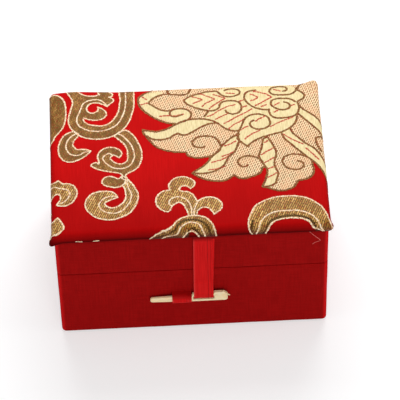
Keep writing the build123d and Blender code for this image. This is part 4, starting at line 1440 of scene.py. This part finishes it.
def strap_root():
    """The end of the strap's ribbon, glued on the lid under the cover and turned down the front."""
    low, high = (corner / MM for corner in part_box("strap_tab"))
    strap_low, strap_high = (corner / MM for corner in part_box("strap"))
    layers = []
    for height, out, radius, width in (
        (low.z + RIBBON_DEPTH, strap_high.y - RIBBON_DEPTH, 0.4, RIBBON_WIDTH + BACK_SPREAD),
        (high.z - RIBBON_DEPTH, strap_low.y + RIBBON_DEPTH, 0.8, RIBBON_WIDTH - STRAP_STEP),
    ):
        corners = [(high.y, height), (out, height, radius), (out, strap_high.z - ROOT_RUN)]
        path = rounded_path(corners)
        layers.append(ribbon_strip(
            path, 0.4, lambda z: low.x + STRAP_LEAN, lambda length, total: width, lambda *_: 0.0
        ))
    piece = join(layers)
    thicken(piece, RIBBON_THICK, 0)
    total = path_length(path)
    # its turned-down end is darkened with painted shadow under the cover's edge
    material = satin_ribbon("red_satin_ribbon_root", "#820A0B", total + 1.1, total - 1.3)
    dress(piece, "strap_root", material, None)
    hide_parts("strap_tab")
    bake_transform(piece)


def tail_loop():
    """The short ribbon loop on the base that holds the toggle's tail, open at both ends."""
    low, high = (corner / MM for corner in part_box("closure_loop"))
    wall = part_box("base_cloth")[0].y / MM + 0.5
    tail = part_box("toggle")[0].z / MM
    bottom, top, out = tail - 0.2, tail + 3.7, low.y + 0.4
    corners = [(wall, bottom), (out, bottom, 0.7), (out, top, 1.7), (wall, top + 0.05)]

    def swell(share, length, total):
        middle = math.sin(math.pi * length / total)
        edge = max(math.exp(-share / 0.07), math.exp(-(1 - share) / 0.07))
        # it bulges over the toggle's shoulder
        bulge = 0.45 * math.exp(-((share - 0.86) / 0.12) ** 2 - ((length / total - 0.62) / 0.14) ** 2)
        return 0.05 * edge * middle - bulge - 0.05 * middle * math.sin(math.pi * share)

    piece = ribbon_strip(
        rounded_path(corners), 0.35, lambda z: low.x, lambda length, total: high.x - low.x, swell
    )
    thicken(piece, RIBBON_THICK, 0)
    # the loop's upper part is darkened with painted shade
    material = satin_ribbon("loop_satin_ribbon", "#B00E0F", 5.6, 6.6)
    dress(piece, "tail_loop", material, "base")
    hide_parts("closure_loop")


def moulding_flash(material):
    """A thin sliver of moulding flash that sticks out at the top of the toggle's wide end."""
    low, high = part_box("toggle")
    start = Vector((high.x - 2.2 * MM, low.y + 0.5 * MM, high.z))
    end = Vector((high.x + 0.9 * MM, low.y + 0.1 * MM, high.z - 2.1 * MM))
    bpy.ops.mesh.primitive_cone_add(
        vertices=16, radius1=0.5 * MM, radius2=0.16 * MM, depth=(end - start).length,
        location=(start + end) / 2, rotation=(end - start).to_track_quat("Z", "Y").to_euler(),
    )
    bpy.ops.object.transform_apply(location=True, rotation=True, scale=True)
    dress(bpy.context.object, "moulding_flash", material, "toggle")


def loose_thread(material):
    """A fine loose thread that lies on the lid's front below the cover's edge, at the right."""
    curve = bpy.data.curves.new("loose_thread", "CURVE")
    curve.dimensions = "3D"
    curve.bevel_depth = 0.11 * MM
    curve.bevel_resolution = 1
    curve.use_fill_caps = True
    spline = curve.splines.new("NURBS")
    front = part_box("lid_cloth")[0].y / MM - 0.16
    points = [
        (47.2, 59.4), (48.4, 57.8), (50.2, 55.4), (52.3, 53.2), (52, 52.4), (50.4, 52.1), (49, 50.7),
    ]
    spline.points.add(len(points) - 1)
    for point, (x, z) in zip(spline.points, points):
        point.co = (x * MM, front * MM, z * MM, 1)
    spline.order_u = 3
    spline.use_endpoint_u = True
    piece = bpy.data.objects.new("loose_thread", curve)
    bpy.context.scene.collection.objects.link(piece)
    make_active(piece)
    bpy.ops.object.convert(target="MESH")
    piece = bpy.context.object
    if not piece.data.uv_layers:
        piece.data.uv_layers.new(name="UVMap")
    dress(piece, "loose_thread", material, "lid")


# Putting it together

def dress_the_boards(plastic):
    """Greyboard, paper and plastic finishes on the solids that keep their own shape."""
    board, paper = uncoated_greyboard(), uncoated_red_paper()
    finishes = {node: board for node in nodes if "wall" in node or "liner" in node}
    finishes.update(base_floor=board, lid_deck=board, cover_board=board, base_sheet=paper, toggle=plastic)
    for node, material in finishes.items():
        for material_slot in nodes[node].material_slots:
            material_slot.material = material


place_camera()
set_the_stage()
ivory = ivory_plastic()
dress_the_boards(ivory)
red_cloth = plain_woven_cloth()
inside_satin = lining_satin()
outer_cloth(
    "base_wrap", "base_cloth", low_leg=8, high_leg=3.35, foot=0.8, head=0.5,
    material=red_cloth, body="base",
)
outer_cloth(
    "lid_wrap", "lid_cloth", low_leg=2.85, high_leg=8, foot=0.5, head=0.3,
    material=red_cloth, body="lid",
)
linings(inside_satin)
hinge_cloth(red_cloth)
cushion(
    "floor_cushion", "base_pad", inside_satin, "base",
    corner=2, roll=1.8, crown=1.6, up=1,
)
cushion(
    "lid_cushion", "lid_pad", inside_satin, "lid",
    corner=2, roll=1.8, crown=1.6, up=-1,
)
cushion(
    "cover_wadding_pad", "cover_wadding", polyester_wadding(), "lid",
    corner=2, roll=1.6, crown=1.2, up=1, inset=0.05,
)
brocade_cover()
strap_ribbon()
strap_root()
tail_loop()
moulding_flash(ivory)
loose_thread(loose_red_yarn())
